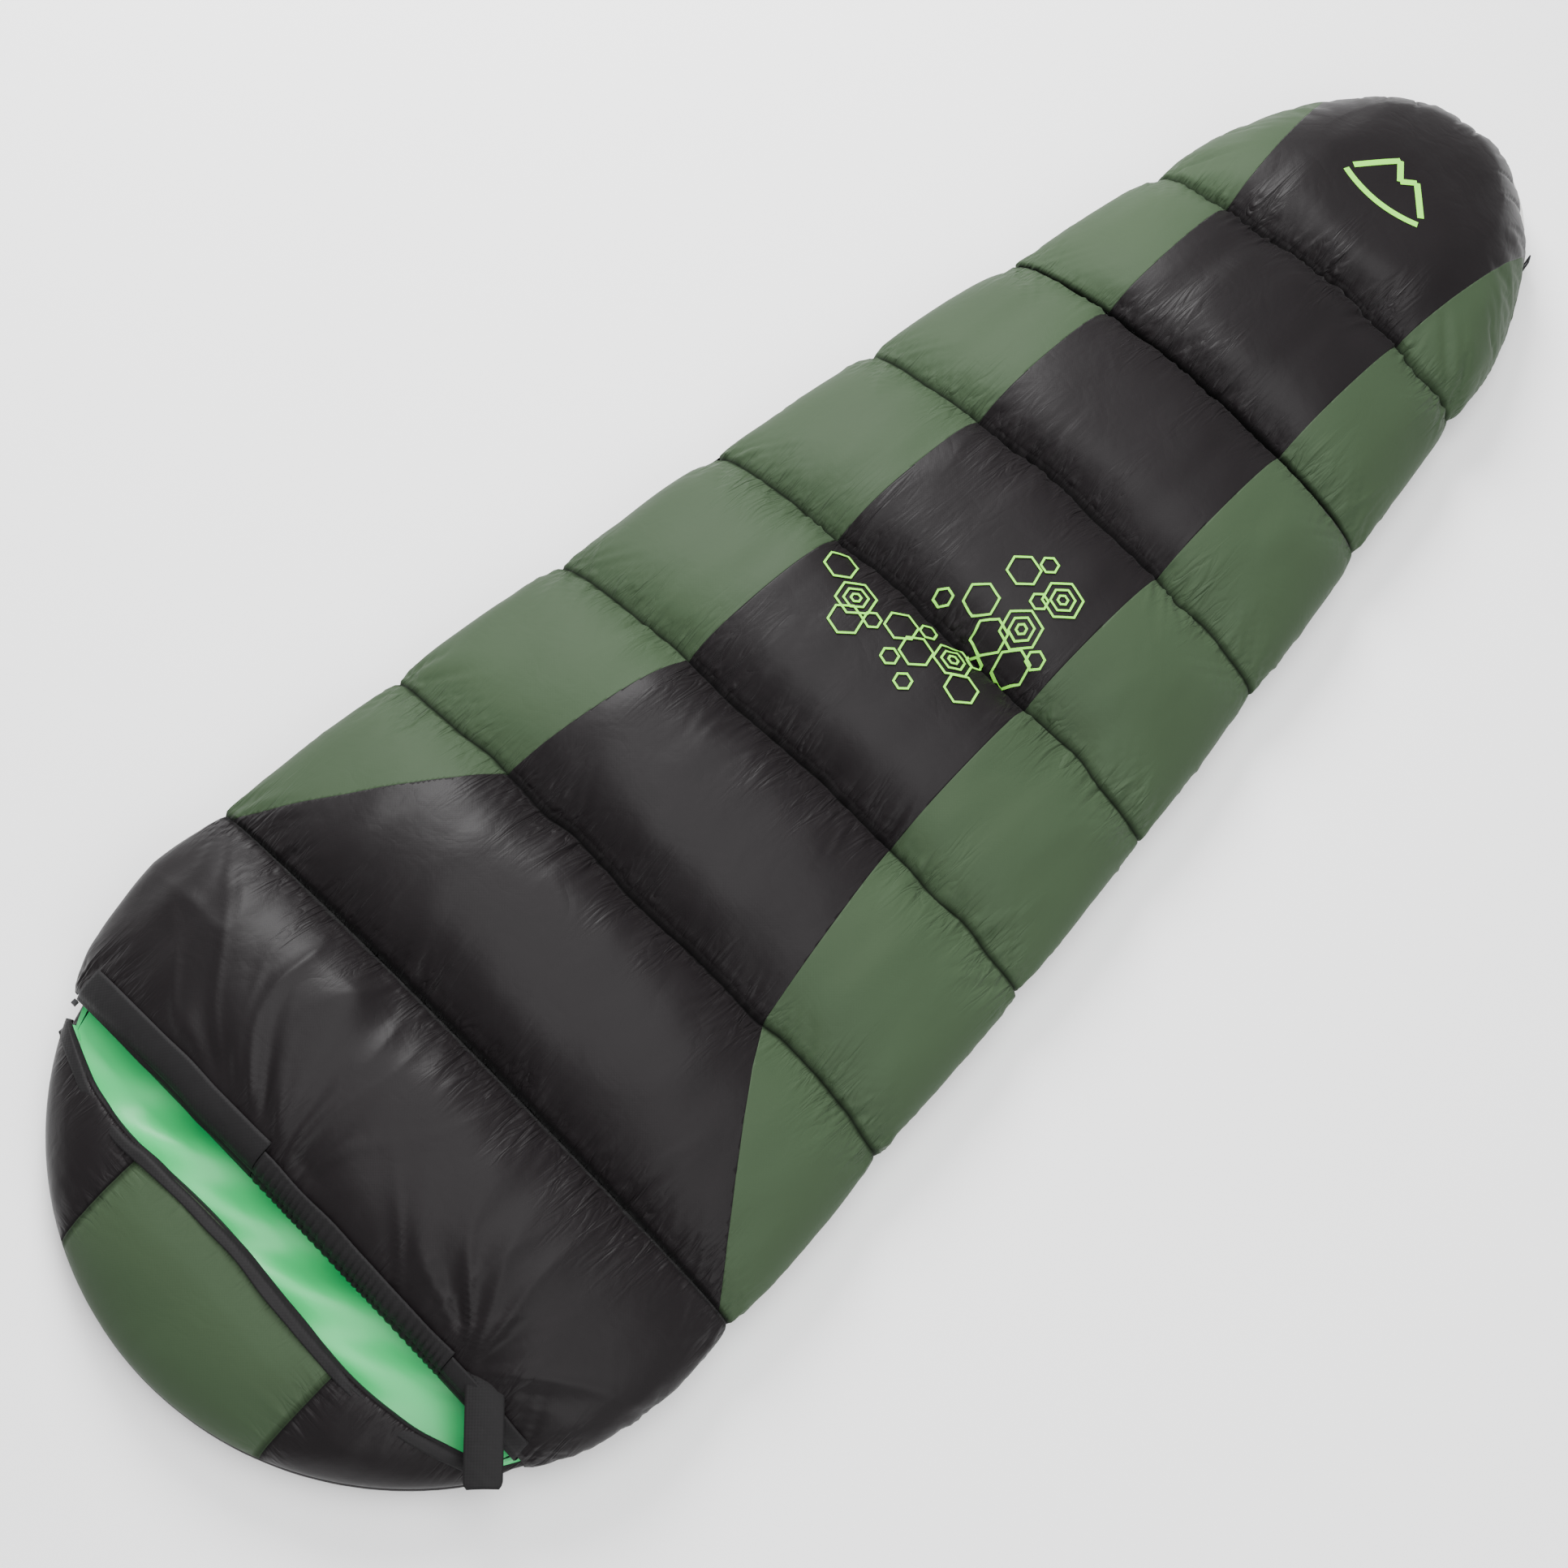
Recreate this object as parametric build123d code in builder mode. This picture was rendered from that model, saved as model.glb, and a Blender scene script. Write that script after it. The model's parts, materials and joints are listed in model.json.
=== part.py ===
"""Mummy sleeping bag: quilted shell, filling and lining, side zip, hood and small trim.

Frame: origin on the floor under the middle of the bag, +Z up, +Y towards the foot end,
-Y towards the hood, zip on the -X side. Millimetres.
"""
import os
from math import asin, cos, degrees, hypot, pi, radians, sin, sqrt, tan

from build123d import *

os.makedirs("parts", exist_ok=True)

# ---- driving dimensions: plan ------------------------------------------------------------
bag_length = 2300.0            # hood rim to foot rim
head_radius = 391.0            # hood end is a half circle; twice this is the greatest width
waist_bow = 23.0               # how far the side seam bows out of its chord
foot_half_width = 247.0        # at the first cross seam
toe_half_width = 165.0         # where the toe arc starts
toe_depth = 101.0              # toe arc's rise
toe_chamber = 412.0            # foot rim to the first cross seam
hood_depth = 208.0             # hood rim to the hem of the top quilt
chamber_count = 7              # equal chambers between the hem and the first cross seam
face_gap = 65.0                # face opening at its middle, measured along the bag
wing_gap = 22.0                # face opening at its two ends
wing_inset = 8.0               # ends of the face opening, inside the rim
face_corner_x = 205.0          # hood's front edge runs straight between two such corners
face_corner_drop = 5.0
# ---- driving dimensions: section ---------------------------------------------------------
bottom_thickness = 38.0        # bottom quilt under the sleeper
crest_rise = 112.0             # top of a filled chamber above the bottom quilt
seam_rise = 88.0               # top quilt at a cross seam
side_rise = 24.0               # filled chamber at the side seam
side_seam_rise = 16.0          # cross seam at the side seam
toe_rise = 24.0                # top quilt at the foot rim
hood_rim_rise = 18.0           # top quilt at the hood rim
quilt_thickness = 30.0         # shell, filling and lining together
shell_thickness = 1.2
lining_thickness = 1.2
floor_rim = 12.0               # bevel of the bottom quilt's lower rim
seam_slot = 2.0                # stitched line between two fillings
body_gap = 0.5                 # between the moving cover and what it lies on
fold_clearance = 1.0           # fold line outside the side seam
# ---- driving dimensions: panels ----------------------------------------------------------
middle_half_width = 140.0      # dark middle panel over the legs
hip_half_width = 146.0
waist_half_width = 153.0
chest_half_width = 195.0       # where it starts to flare
flare_inset = 10.0             # flare ends this far inside the greatest width
toe_panel_half_width = 172.0
toe_panel_spread = 30.0        # how much wider it would be past the foot rim
hood_panel_half_width = 148.0
collar_width = 30.0
collar_thickness = 3.0
collar_inset = 22.0            # collar's outer end inside the rim
collar_end_x = -56.0
channel_width = 18.0
channel_thickness = 5.0
channel_gap = 4.0              # drawcord channel stops this far from the neck tab
binding_width = 25.0
binding_thickness = 2.4
binding_inset = 33.0           # binding's outer end inside the rim
# ---- driving dimensions: zip -------------------------------------------------------------
zip_start = 17.0               # zip's upper end past the hem
zip_start_inset = 14.0         # and inside the rim
zip_bow = 48.0                 # sagitta of the zip's line
zip_short = 30.0               # zip ends this far short of the cover's end
zip_bottom_inset = 9.0         # zip's lower end inside the side seam
groove_depth = 7.0             # quilts stop this far inside the zip's line
groove_below = 9.0             # groove below and above the bottom quilt's top
groove_above = 10.0
groove_overrun = 60.0          # groove past the zip's upper end
groove_end_gap = 25.0          # and past its lower end
tape_thickness = 0.8
coil_size = 2.2
coil_gap = 0.3
coil_end_gap = 7.0             # upper coil stops this far short of the slider's post
stop_length = 6.0
stop_thickness = 4.0
stop_gap = 1.0
stop_below_groove = 4.0        # bottom stop's top below the groove's top
top_stop_offset = 20.0         # top stop past the zip's upper end
slider_length = 26.0
slider_height = 11.0
slider_plate = 1.5
slider_slot = 3.2              # between the slider's two plates
slider_post_length = 4.0
slider_post_overlap = 0.5      # post runs into each plate
post_gap = 0.3                 # between the post and the coil
ear_length = 8.0
ear_reach = 5.0
ear_thickness = 2.0
ear_overlap = 0.2              # ear runs into the plate
pull_length = 38.0
pull_thickness = 2.0
pull_gap = 0.4                 # between the pull and each ear
pull_pin_radius = 1.0
pull_pin_offset = 3.2          # pin outside the slider's plate
pull_eye_wall = 1.0
pin_clearance = 0.25
draft_tube_radius = 8.0
draft_tube_gap = 0.2           # over the bottom lining
draft_tube_clearance = 2.5     # under the cover's lining
# ---- driving dimensions: trim ------------------------------------------------------------
tab_width = 40.0
tab_length = 128.0
tab_thickness = 4.0
tab_corner = 6.0
tab_start = 45.0               # tab's sewn end past the hem
tab_start_inset = 130.0        # and inside the rim
tab_direction = -44.7          # way the tab points, from +X, in degrees
tab_root_lift = 9.0            # tab's underside above the quilt at its sewn end
tab_tip_lift = 5.0
loop_width = 14.0
loop_length = 26.0
loop_thickness = 1.6
loop_hole_width = 6.0
loop_hole_length = 17.0
loop_corner = 2.5
loop_gap = 0.6
loop_drop = 3.0                # loop's upper end below the side seam
loop_direction = 24.0          # way the loop faces, from +X towards +Y, in degrees

# ---- worked out from the above -----------------------------------------------------------
head_y = -bag_length / 2
toe_y = bag_length / 2
head_center_y = head_y + head_radius
toe_shoulder_y = toe_y - toe_depth
first_seam_y = toe_y - toe_chamber
hem_y = head_y + hood_depth
seam_pitch = (first_seam_y - hem_y) / chamber_count
seams = [first_seam_y - seam_pitch * k for k in range(chamber_count)]
hood_front_y = hem_y - face_gap
wing_front_y = hem_y - wing_gap
crest_height = bottom_thickness + crest_rise
seam_height = bottom_thickness + seam_rise
side_height = bottom_thickness + side_rise
side_seam_height = bottom_thickness + side_seam_rise
toe_height = bottom_thickness + toe_rise
hood_rim_height = bottom_thickness + hood_rim_rise
zip_level = bottom_thickness + body_gap     # where the two coils mesh
groove_low = bottom_thickness - groove_below
groove_high = bottom_thickness + groove_above
far = 3 * head_radius
rim_overrun = 40.0             # sections are lofted past both rims and both sides, then cut


def arc_through(start, end, bow):
    """Middle point, radius and centre of the arc that bows out to the left of start -> end."""
    chord = hypot(end[0] - start[0], end[1] - start[1])
    left = (-(end[1] - start[1]) / chord, (end[0] - start[0]) / chord)
    middle = ((start[0] + end[0]) / 2, (start[1] + end[1]) / 2)
    radius = (chord**2 / 4 + bow**2) / (2 * bow)
    top = (middle[0] + bow * left[0], middle[1] + bow * left[1])
    centre = (top[0] - radius * left[0], top[1] - radius * left[1])
    return top, radius, centre


# right-hand side seam, from the foot down to the widest point of the hood end
side_top, side_radius, side_centre = arc_through(
    (foot_half_width, first_seam_y), (head_radius, head_center_y), waist_bow
)


def half_width(y):
    """Half the bag's width at y, along the long side seam; its greatest width past that."""
    y = max(y, head_center_y)
    return side_centre[0] + sqrt(side_radius**2 - (y - side_centre[1]) ** 2)


def rim_half_width(y):
    """Half the bag's width at y, along the side seam or the round hood end."""
    if y > head_center_y:
        return half_width(y)
    return sqrt(head_radius**2 - (y - head_center_y) ** 2)


def outline_face(inset):
    """The bag's plan outline on the floor, drawn in by inset."""
    with BuildSketch(Plane.XY) as outline:
        with BuildLine():
            for side in (1, -1):
                ThreePointArc(
                    (side * head_radius, head_center_y),
                    (side * side_top[0], side_top[1]),
                    (side * foot_half_width, first_seam_y),
                )
                TangentArc(
                    (side * foot_half_width, first_seam_y),
                    (side * toe_half_width, toe_shoulder_y),
                    tangent=(
                        -side * (first_seam_y - side_centre[1]),
                        foot_half_width - side_centre[0],
                    ),
                )
            ThreePointArc(
                (toe_half_width, toe_shoulder_y), (0, toe_y), (-toe_half_width, toe_shoulder_y)
            )
            ThreePointArc(
                (-head_radius, head_center_y), (0, head_y), (head_radius, head_center_y)
            )
        make_face()
        if inset:
            offset(amount=-inset, kind=Kind.INTERSECTION)
    return outline.sketch


def stations():
    """Cross sections of the top quilt, as (y, half width, crest height, edge height)."""
    rows = []
    # past the hood rim, then two inside it, up to the face opening
    for run, rise, edge in ((-rim_overrun, -14, -12), (20, 14, 2), (80, 48, 14)):
        rows.append((head_y + run, head_radius, hood_rim_height + rise, bottom_thickness + edge))
    rows.append((hood_front_y, half_width(hood_front_y), seam_height, side_seam_height))
    rows.append((hem_y, half_width(hem_y), seam_height, side_seam_height))
    for upper, lower in zip([hem_y] + seams[::-1], seams[::-1]):
        middle = (upper + lower) / 2
        rows.append((middle, half_width(middle), crest_height, side_height))
        rows.append((lower, half_width(lower), seam_height, side_seam_height))
    # the toe chamber is as high as the others, then falls to the foot rim
    narrow = foot_half_width - toe_half_width
    for run, share, drop, side_drop in ((0.3, 0.1, 2, 0), (0.6, 0.4, 12, 0), (0.85, 0.7, 42, 6)):
        rows.append((first_seam_y + run * toe_chamber, foot_half_width - share * narrow,
                     crest_height - drop, side_height - side_drop))
    rows.append((toe_y, toe_half_width, toe_height, side_height - 14))
    rows.append((toe_y + rim_overrun, toe_half_width, toe_height - 22, side_height - 26))
    return rows


def arch_height(x, half, crest, edge):
    """Height at x of the circular arch through the crest and the two side edges."""
    rise = crest - edge
    radius = (half**2 + rise**2) / (2 * rise)
    return crest - radius + sqrt(radius**2 - x**2)


def arch_solid(inset, base):
    """Everything under the top quilt's outer surface, sunk by inset, above z = base."""
    with BuildPart() as arch:
        for y, half, crest, edge in stations():
            reach = half + rim_overrun
            shoulder = arch_height(reach, half, crest, edge) - inset
            with BuildSketch(Plane.XZ.offset(-y)):
                with BuildLine():
                    ThreePointArc((-reach, shoulder), (0, crest - inset), (reach, shoulder))
                    Polyline((reach, shoulder), (reach, -rim_overrun), (-reach, -rim_overrun),
                             (-reach, shoulder))
                make_face()
        loft()
    with BuildPart() as prism:
        with BuildSketch(Plane.XY.offset(base)):
            add(outline_face(max(inset, 0)))
        extrude(amount=2 * crest_height)
        add(arch.part, mode=Mode.INTERSECT)
    return prism.part


def layer(outer, inner, base):
    """The part of the top quilt between two depths below its outer surface."""
    with BuildPart() as between:
        add(arch_solid(outer, base))
        add(arch_solid(inner, base - 1), mode=Mode.SUBTRACT)
    return between.part


def prism(points, low=-1.0, high=2 * crest_height):
    """An upright prism over a closed plan polygon."""
    with BuildPart() as upright:
        with BuildSketch(Plane.XY.offset(low)):
            with BuildLine():
                Polyline(*points, close=True)
            make_face()
        extrude(amount=high - low)
    return upright.part


def strip(y_low, y_high, x_low=-far, x_high=far):
    """An upright prism between two values of y."""
    return prism([(x_low, y_low), (x_high, y_low), (x_high, y_high), (x_low, y_high)])


# ---- fold line of the cover: it touches the right-hand side seam from outside ------------
cover_end_y = seams[1]         # the cover ends at the second cross seam
fold_touch_y = (hem_y + cover_end_y) / 2
fold_touch = (half_width(fold_touch_y) + fold_clearance, fold_touch_y)
fold_angle = asin((fold_touch_y - side_centre[1]) / side_radius)
fold_direction = (-sin(fold_angle), cos(fold_angle))
end_slope = tan(fold_angle)    # the cover's end is cut square to the fold line


def cover_zone(gap):
    """Plan of the moving cover, from the hem to its end."""
    end_right = (far, cover_end_y + far * end_slope - gap)
    end_left = (-far, cover_end_y - far * end_slope - gap)
    return prism([(-far, hem_y), (far, hem_y), end_right, end_left])


def foot_zone():
    """Plan of the fixed foot part of the top quilt."""
    end_right = (far, cover_end_y + far * end_slope)
    end_left = (-far, cover_end_y - far * end_slope)
    return prism([end_left, end_right, (far, toe_y + far), (-far, toe_y + far)])


def hood_zone(setback=0.0):
    """Plan of the hood's top, behind the face opening."""
    front = hood_front_y - setback
    wing = wing_front_y - setback
    wing_x = rim_half_width(wing) - wing_inset
    corner = front - face_corner_drop
    return prism([
        (-far, wing), (-wing_x, wing), (-face_corner_x, corner), (0, front),
        (face_corner_x, corner), (wing_x, wing), (far, wing),
        (far, head_y - far), (-far, head_y - far),
    ])


def middle_zone():
    """Plan of the dark middle panel, from the chest seam to the toe."""
    right = [
        (half_width(seams[-1]) - flare_inset, seams[-1]), (chest_half_width, seams[-2]),
        (waist_half_width, seams[-3]), (hip_half_width, seams[-4]),
        (middle_half_width, seams[-5]), (middle_half_width, first_seam_y),
        (toe_panel_half_width, toe_shoulder_y),
        (toe_panel_half_width + toe_panel_spread, toe_y + toe_depth),
    ]
    left = [(-x, y) for x, y in right[::-1]]
    return prism(right + left)


# ---- zip line ---------------------------------------------------------------------------
zip_top_y = hem_y + zip_start
zip_top = (-rim_half_width(zip_top_y) + zip_start_inset, zip_top_y)
zip_bottom_y = cover_end_y - zip_short
zip_bottom = (-half_width(zip_bottom_y) + zip_bottom_inset, zip_bottom_y)
_, zip_radius, zip_centre = arc_through(zip_top, zip_bottom, zip_bow)


def zip_angle(y):
    """Direction from the zip line's centre to its point at y, in degrees."""
    return 180 - degrees(asin((y - zip_centre[1]) / zip_radius))


def zip_point(y, out=0.0):
    """Plan point of the zip line at y, moved outwards by out."""
    turn = radians(zip_angle(y))
    reach = zip_radius + out
    return (zip_centre[0] + reach * cos(turn), zip_centre[1] + reach * sin(turn))


def zip_band(y_low, y_high, inner, outer, low, high):
    """A curved band along the zip line, between two offsets and two heights."""
    middle = (y_low + y_high) / 2
    with BuildPart() as band:
        with BuildSketch(Plane.XY.offset(low)):
            with BuildLine():
                ThreePointArc(zip_point(y_low, inner), zip_point(middle, inner),
                              zip_point(y_high, inner))
                ThreePointArc(zip_point(y_low, outer), zip_point(middle, outer),
                              zip_point(y_high, outer))
                Line(zip_point(y_low, inner), zip_point(y_low, outer))
                Line(zip_point(y_high, inner), zip_point(y_high, outer))
            make_face()
        extrude(amount=high - low)
    return band.part


zip_groove = zip_band(zip_top_y - groove_overrun, zip_bottom_y + groove_end_gap,
                      -groove_depth, far, groove_low, groove_high)
cover_base = bottom_thickness + body_gap


def save(part, name):
    """Label a finished piece and write its STEP file."""
    part.label = name
    export_step(part, f"parts/{name}.step")


# ---- bottom quilt -------------------------------------------------------------------------
def bottom_block(inset, low, high, rim):
    """A slab of the bottom quilt with its lower rim drawn in by rim."""
    with BuildPart() as block:
        with BuildSketch(Plane.XY.offset(low)):
            add(outline_face(inset + rim))
        with BuildSketch(Plane.XY.offset(low + rim)):
            add(outline_face(inset))
        loft(ruled=True)
        with BuildSketch(Plane.XY.offset(low + rim)):
            add(outline_face(inset))
        extrude(amount=high - low - rim)
    return block.part


def make_bottom():
    """Bottom quilt: outer shell, filling in chambers, and lining."""
    fill_top = bottom_thickness - lining_thickness
    with BuildPart() as bottom_shell:
        add(bottom_block(0, 0, bottom_thickness, floor_rim))
        add(bottom_block(shell_thickness, shell_thickness, bottom_thickness + 1, floor_rim),
            mode=Mode.SUBTRACT)
        add(zip_groove, mode=Mode.SUBTRACT)
    save(bottom_shell.part, "bottom_shell")
    with BuildPart() as bottom_insulation:
        add(bottom_block(shell_thickness, shell_thickness, fill_top, floor_rim))
        for y in seams + [hem_y]:
            add(strip(y - seam_slot / 2, y + seam_slot / 2), mode=Mode.SUBTRACT)
        add(zip_groove, mode=Mode.SUBTRACT)
    save(bottom_insulation.part, "bottom_insulation")
    with BuildPart() as bottom_lining:
        with BuildSketch(Plane.XY.offset(fill_top)):
            add(outline_face(shell_thickness))
        extrude(amount=lining_thickness)
        add(zip_groove, mode=Mode.SUBTRACT)
    save(bottom_lining.part, "bottom_lining")


# ---- top quilt ----------------------------------------------------------------------------
def cut_from(source, *zones, without=()):
    """The part of source inside every zone and outside every solid of without."""
    with BuildPart() as piece:
        add(source)
        for zone in zones:
            add(zone, mode=Mode.INTERSECT)
        for solid in without:
            add(solid, mode=Mode.SUBTRACT)
    return piece.part


def chamber(low, high):
    """The room for filling between two stitched lines."""
    return strip(low + seam_slot / 2, high - seam_slot / 2)


def make_foot():
    """Fixed foot part of the top quilt."""
    shell = layer(0, shell_thickness, bottom_thickness)
    fill = layer(shell_thickness, quilt_thickness - lining_thickness, bottom_thickness)
    lining = layer(quilt_thickness - lining_thickness, quilt_thickness, bottom_thickness)
    zone = foot_zone()
    middle = middle_zone()
    left = strip(-far, far, x_high=0)
    right = strip(-far, far, x_low=0)
    save(cut_from(shell, zone, middle), "foot_center_panel")
    save(cut_from(shell, zone, left, without=[middle]), "foot_left_panel")
    save(cut_from(shell, zone, right, without=[middle]), "foot_right_panel")
    save(cut_from(fill, zone, chamber(cover_end_y - seam_pitch, first_seam_y)), "foot_fill_1")
    save(cut_from(fill, zone, chamber(first_seam_y, toe_y + far)), "foot_fill_2")
    save(cut_from(lining, zone), "foot_lining")


def make_cover():
    """Moving part of the top quilt, from the hem to the second cross seam."""
    shell = layer(0, shell_thickness, cover_base)
    fill = layer(shell_thickness, quilt_thickness - lining_thickness, cover_base)
    lining = layer(quilt_thickness - lining_thickness, quilt_thickness, cover_base)
    zone = cover_zone(body_gap)
    middle = middle_zone()
    chest = strip(hem_y - 1, seams[-1])
    legs = strip(seams[-1], toe_y)
    left = strip(-far, far, x_high=0)
    right = strip(-far, far, x_low=0)
    save(cut_from(shell, zone, chest, without=[zip_groove]), "cover_chest_panel")
    save(cut_from(shell, zone, legs, middle, without=[zip_groove]), "cover_center_panel")
    save(cut_from(shell, zone, legs, left, without=[middle, zip_groove]), "cover_left_panel")
    save(cut_from(shell, zone, legs, right, without=[middle]), "cover_right_panel")
    ends = [hem_y - seam_slot] + seams[:1:-1] + [first_seam_y]
    for number, (low, high) in enumerate(zip(ends, ends[1:]), 1):
        save(cut_from(fill, zone, chamber(low, high), without=[zip_groove]), f"cover_fill_{number}")
    save(cut_from(lining, zone, without=[zip_groove]), "cover_lining")
    collar_ring = layer(-collar_thickness, 0, cover_base)
    collar = strip(hem_y, hem_y + collar_width, -rim_half_width(hem_y) + collar_inset, collar_end_x)
    save(cut_from(collar_ring, collar), "collar_band")
    channel_ring = layer(-channel_thickness, 0, cover_base)
    channel_end = tab_root[0] - tab_width / 2 - channel_gap
    channel = strip(hem_y, hem_y + channel_width, collar_end_x + seam_slot / 2, channel_end)
    save(cut_from(channel_ring, channel), "drawcord_channel")


def make_hood():
    """Hood top: three shell panels, filling, lining and the bound front edge."""
    shell = layer(0, shell_thickness, bottom_thickness)
    fill = layer(shell_thickness, quilt_thickness - lining_thickness, bottom_thickness)
    lining = layer(quilt_thickness - lining_thickness, quilt_thickness, bottom_thickness)
    zone = hood_zone()
    panel = strip(head_y - far, wing_front_y, -hood_panel_half_width, hood_panel_half_width)
    left = strip(head_y - far, wing_front_y, -far, -hood_panel_half_width)
    right = strip(head_y - far, wing_front_y, hood_panel_half_width, far)
    save(cut_from(shell, zone, panel), "hood_center_panel")
    save(cut_from(shell, zone, left, without=[zip_groove]), "hood_left_panel")
    save(cut_from(shell, zone, right), "hood_right_panel")
    save(cut_from(fill, zone, without=[zip_groove]), "hood_insulation")
    save(cut_from(lining, zone), "hood_lining")
    binding_ring = layer(-binding_thickness, 0, bottom_thickness)
    span = strip(head_y - far, wing_front_y, -rim_half_width(wing_front_y) + binding_inset,
                 tab_root[0] - tab_width)
    save(cut_from(binding_ring, zone, span, without=[hood_zone(binding_width)]), "hood_binding")


# ---- zip ----------------------------------------------------------------------------------
def draft_tube_point(y):
    """Middle of the draft tube at y: as far out as it fits under the cover's lining."""
    half = half_width(y)
    rise = seam_height - side_seam_height
    radius = (half**2 + rise**2) / (2 * rise)
    top = bottom_thickness + draft_tube_gap + 2 * draft_tube_radius
    fall = seam_height - quilt_thickness - draft_tube_clearance - top
    return (-sqrt(radius**2 - (radius - fall) ** 2), y, top - draft_tube_radius)


def make_zip():
    """Two tapes, two coils, two stops, slider, pull and the draft tube behind them."""
    y_low, y_high = zip_top_y, zip_bottom_y
    half_tape = tape_thickness / 2
    half_coil = coil_size / 2
    half_stop = stop_thickness / 2
    meet_low = zip_level - coil_gap / 2
    meet_high = zip_level + coil_gap / 2
    start = y_low - slider_length / 2
    end = y_low + slider_length / 2
    upper_start = start + slider_post_length + coil_end_gap
    save(zip_band(y_low, y_high, -half_tape, half_tape, groove_low,
                  meet_low - coil_size), "zip_tape_lower")
    save(zip_band(upper_start, y_high, -half_tape, half_tape,
                  meet_high + coil_size, groove_high), "zip_tape_upper")
    save(zip_band(y_low, y_high, -half_coil, half_coil, meet_low - coil_size,
                  meet_low), "zip_coil_lower")
    save(zip_band(upper_start, y_high, -half_coil, half_coil, meet_high,
                  meet_high + coil_size), "zip_coil_upper")
    save(zip_band(y_high + stop_gap, y_high + stop_gap + stop_length, -half_stop, half_stop,
                  groove_low, groove_high - stop_below_groove), "zip_bottom_stop")
    save(zip_band(y_low - top_stop_offset - stop_length, y_low - top_stop_offset, -half_stop,
                  half_stop, groove_low, zip_level - stop_gap), "zip_top_stop")

    slot = slider_slot / 2
    low = zip_level - slider_height / 2
    high = zip_level + slider_height / 2
    ear_start = slot + slider_plate - ear_overlap
    with BuildPart() as zip_slider:
        add(zip_band(start, end, slot, slot + slider_plate, low, high))
        add(zip_band(start, end, -slot - slider_plate, -slot, low, high))
        add(zip_band(start, start + slider_post_length, -slot - slider_post_overlap,
                     slot + slider_post_overlap, meet_high + post_gap, high))
        for z in (low, high - ear_thickness):
            add(zip_band(y_low - ear_length / 2, y_low + ear_length / 2, ear_start,
                         ear_start + ear_reach + ear_overlap, z, z + ear_thickness))
        with BuildSketch(Plane.XY.offset(low)):
            with Locations(pull_pivot):
                Circle(pull_pin_radius)
        extrude(amount=slider_height)
    save(zip_slider.part, "zip_slider")

    eye = pull_pin_radius + pin_clearance
    pull_width = slider_height - 2 * (ear_thickness + pull_gap)
    with BuildPart() as zip_pull_tab:
        with BuildSketch(Plane(origin=(*pull_pivot, zip_level - pull_width / 2),
                               x_dir=(*pull_direction, 0), z_dir=(0, 0, 1))):
            Circle(eye + pull_eye_wall)
            with Locations((pull_length / 2, 0)):
                Rectangle(pull_length, pull_thickness)
            Circle(eye, mode=Mode.SUBTRACT)
        extrude(amount=pull_width)
    save(zip_pull_tab.part, "zip_pull_tab")

    with BuildPart() as zip_draft_tube:
        with BuildLine() as run:
            ThreePointArc(draft_tube_point(head_center_y),
                          draft_tube_point((head_center_y + zip_bottom_y) / 2),
                          draft_tube_point(zip_bottom_y))
        with BuildSketch(Plane(origin=run.line @ 0, z_dir=run.line % 0)):
            Circle(draft_tube_radius)
        sweep()
    save(zip_draft_tube.part, "zip_draft_tube")


pull_pivot = zip_point(zip_top_y, slider_slot / 2 + slider_plate + pull_pin_offset)
pull_tangent = radians(zip_angle(zip_top_y)) + pi / 2
pull_direction = (cos(pull_tangent), sin(pull_tangent))

# ---- neck tab ------------------------------------------------------------------------------
tab_root_y = hem_y + tab_start
tab_root = (rim_half_width(tab_root_y) - tab_start_inset, tab_root_y)
tab_along = (cos(radians(tab_direction)), sin(radians(tab_direction)))
tab_tip_x = tab_root[0] + tab_length * tab_along[0]


def hem_height(x):
    """Height of the top quilt's outer surface near the hem."""
    return arch_height(x, half_width(hem_y), seam_height, side_seam_height)


tab_root_z = hem_height(tab_root[0]) + tab_root_lift
tab_slope = (hem_height(tab_tip_x) + tab_tip_lift - tab_root_z) / tab_length


def make_neck_tab():
    """Flat strap sewn to the cover's hem and lying across the end of the face opening."""
    with BuildPart() as neck_tab:
        with BuildSketch(Plane(origin=(*tab_root, tab_root_z), x_dir=(*tab_along, tab_slope),
                               z_dir=(-tab_slope * tab_along[0], -tab_slope * tab_along[1], 1))):
            with Locations((tab_length / 2, 0)):
                RectangleRounded(tab_length, tab_width, tab_corner)
        extrude(amount=tab_thickness)
    save(neck_tab.part, "neck_tab")


# ---- foot trim -----------------------------------------------------------------------------
def make_foot_trim():
    """Hanging loop sewn into the foot rim."""
    out = radians(loop_direction)
    stand_off = loop_gap + loop_thickness / 2
    centre = (toe_half_width + stand_off * cos(out), toe_shoulder_y + stand_off * sin(out),
              bottom_thickness - loop_drop - loop_length / 2)
    with BuildPart() as foot_hang_loop:
        with BuildSketch(Plane(origin=centre, x_dir=(-sin(out), cos(out), 0),
                               z_dir=(cos(out), sin(out), 0))):
            RectangleRounded(loop_width, loop_length, loop_corner)
            RectangleRounded(loop_hole_width, loop_hole_length, loop_corner, mode=Mode.SUBTRACT)
        extrude(amount=loop_thickness / 2, both=True)
    save(foot_hang_loop.part, "foot_hang_loop")


make_bottom()
make_foot()
make_cover()
make_hood()
make_zip()
make_neck_tab()
make_foot_trim()

print("fold line through", fold_touch, "direction", fold_direction)
print("zip centre", zip_centre, "travel in degrees", zip_angle(zip_top_y)
      - zip_angle(zip_bottom_y - slider_length / 2 - slider_post_length - stop_gap))
print("pull pivot", pull_pivot)
print("neck tab root", tab_root, tab_root_z)
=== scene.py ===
import json
import math

import bmesh
import bpy
import numpy as np
from bpy.props import FloatProperty, FloatVectorProperty, IntProperty, PointerProperty
from mathutils import Matrix, Vector
from mathutils.bvhtree import BVHTree

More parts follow.
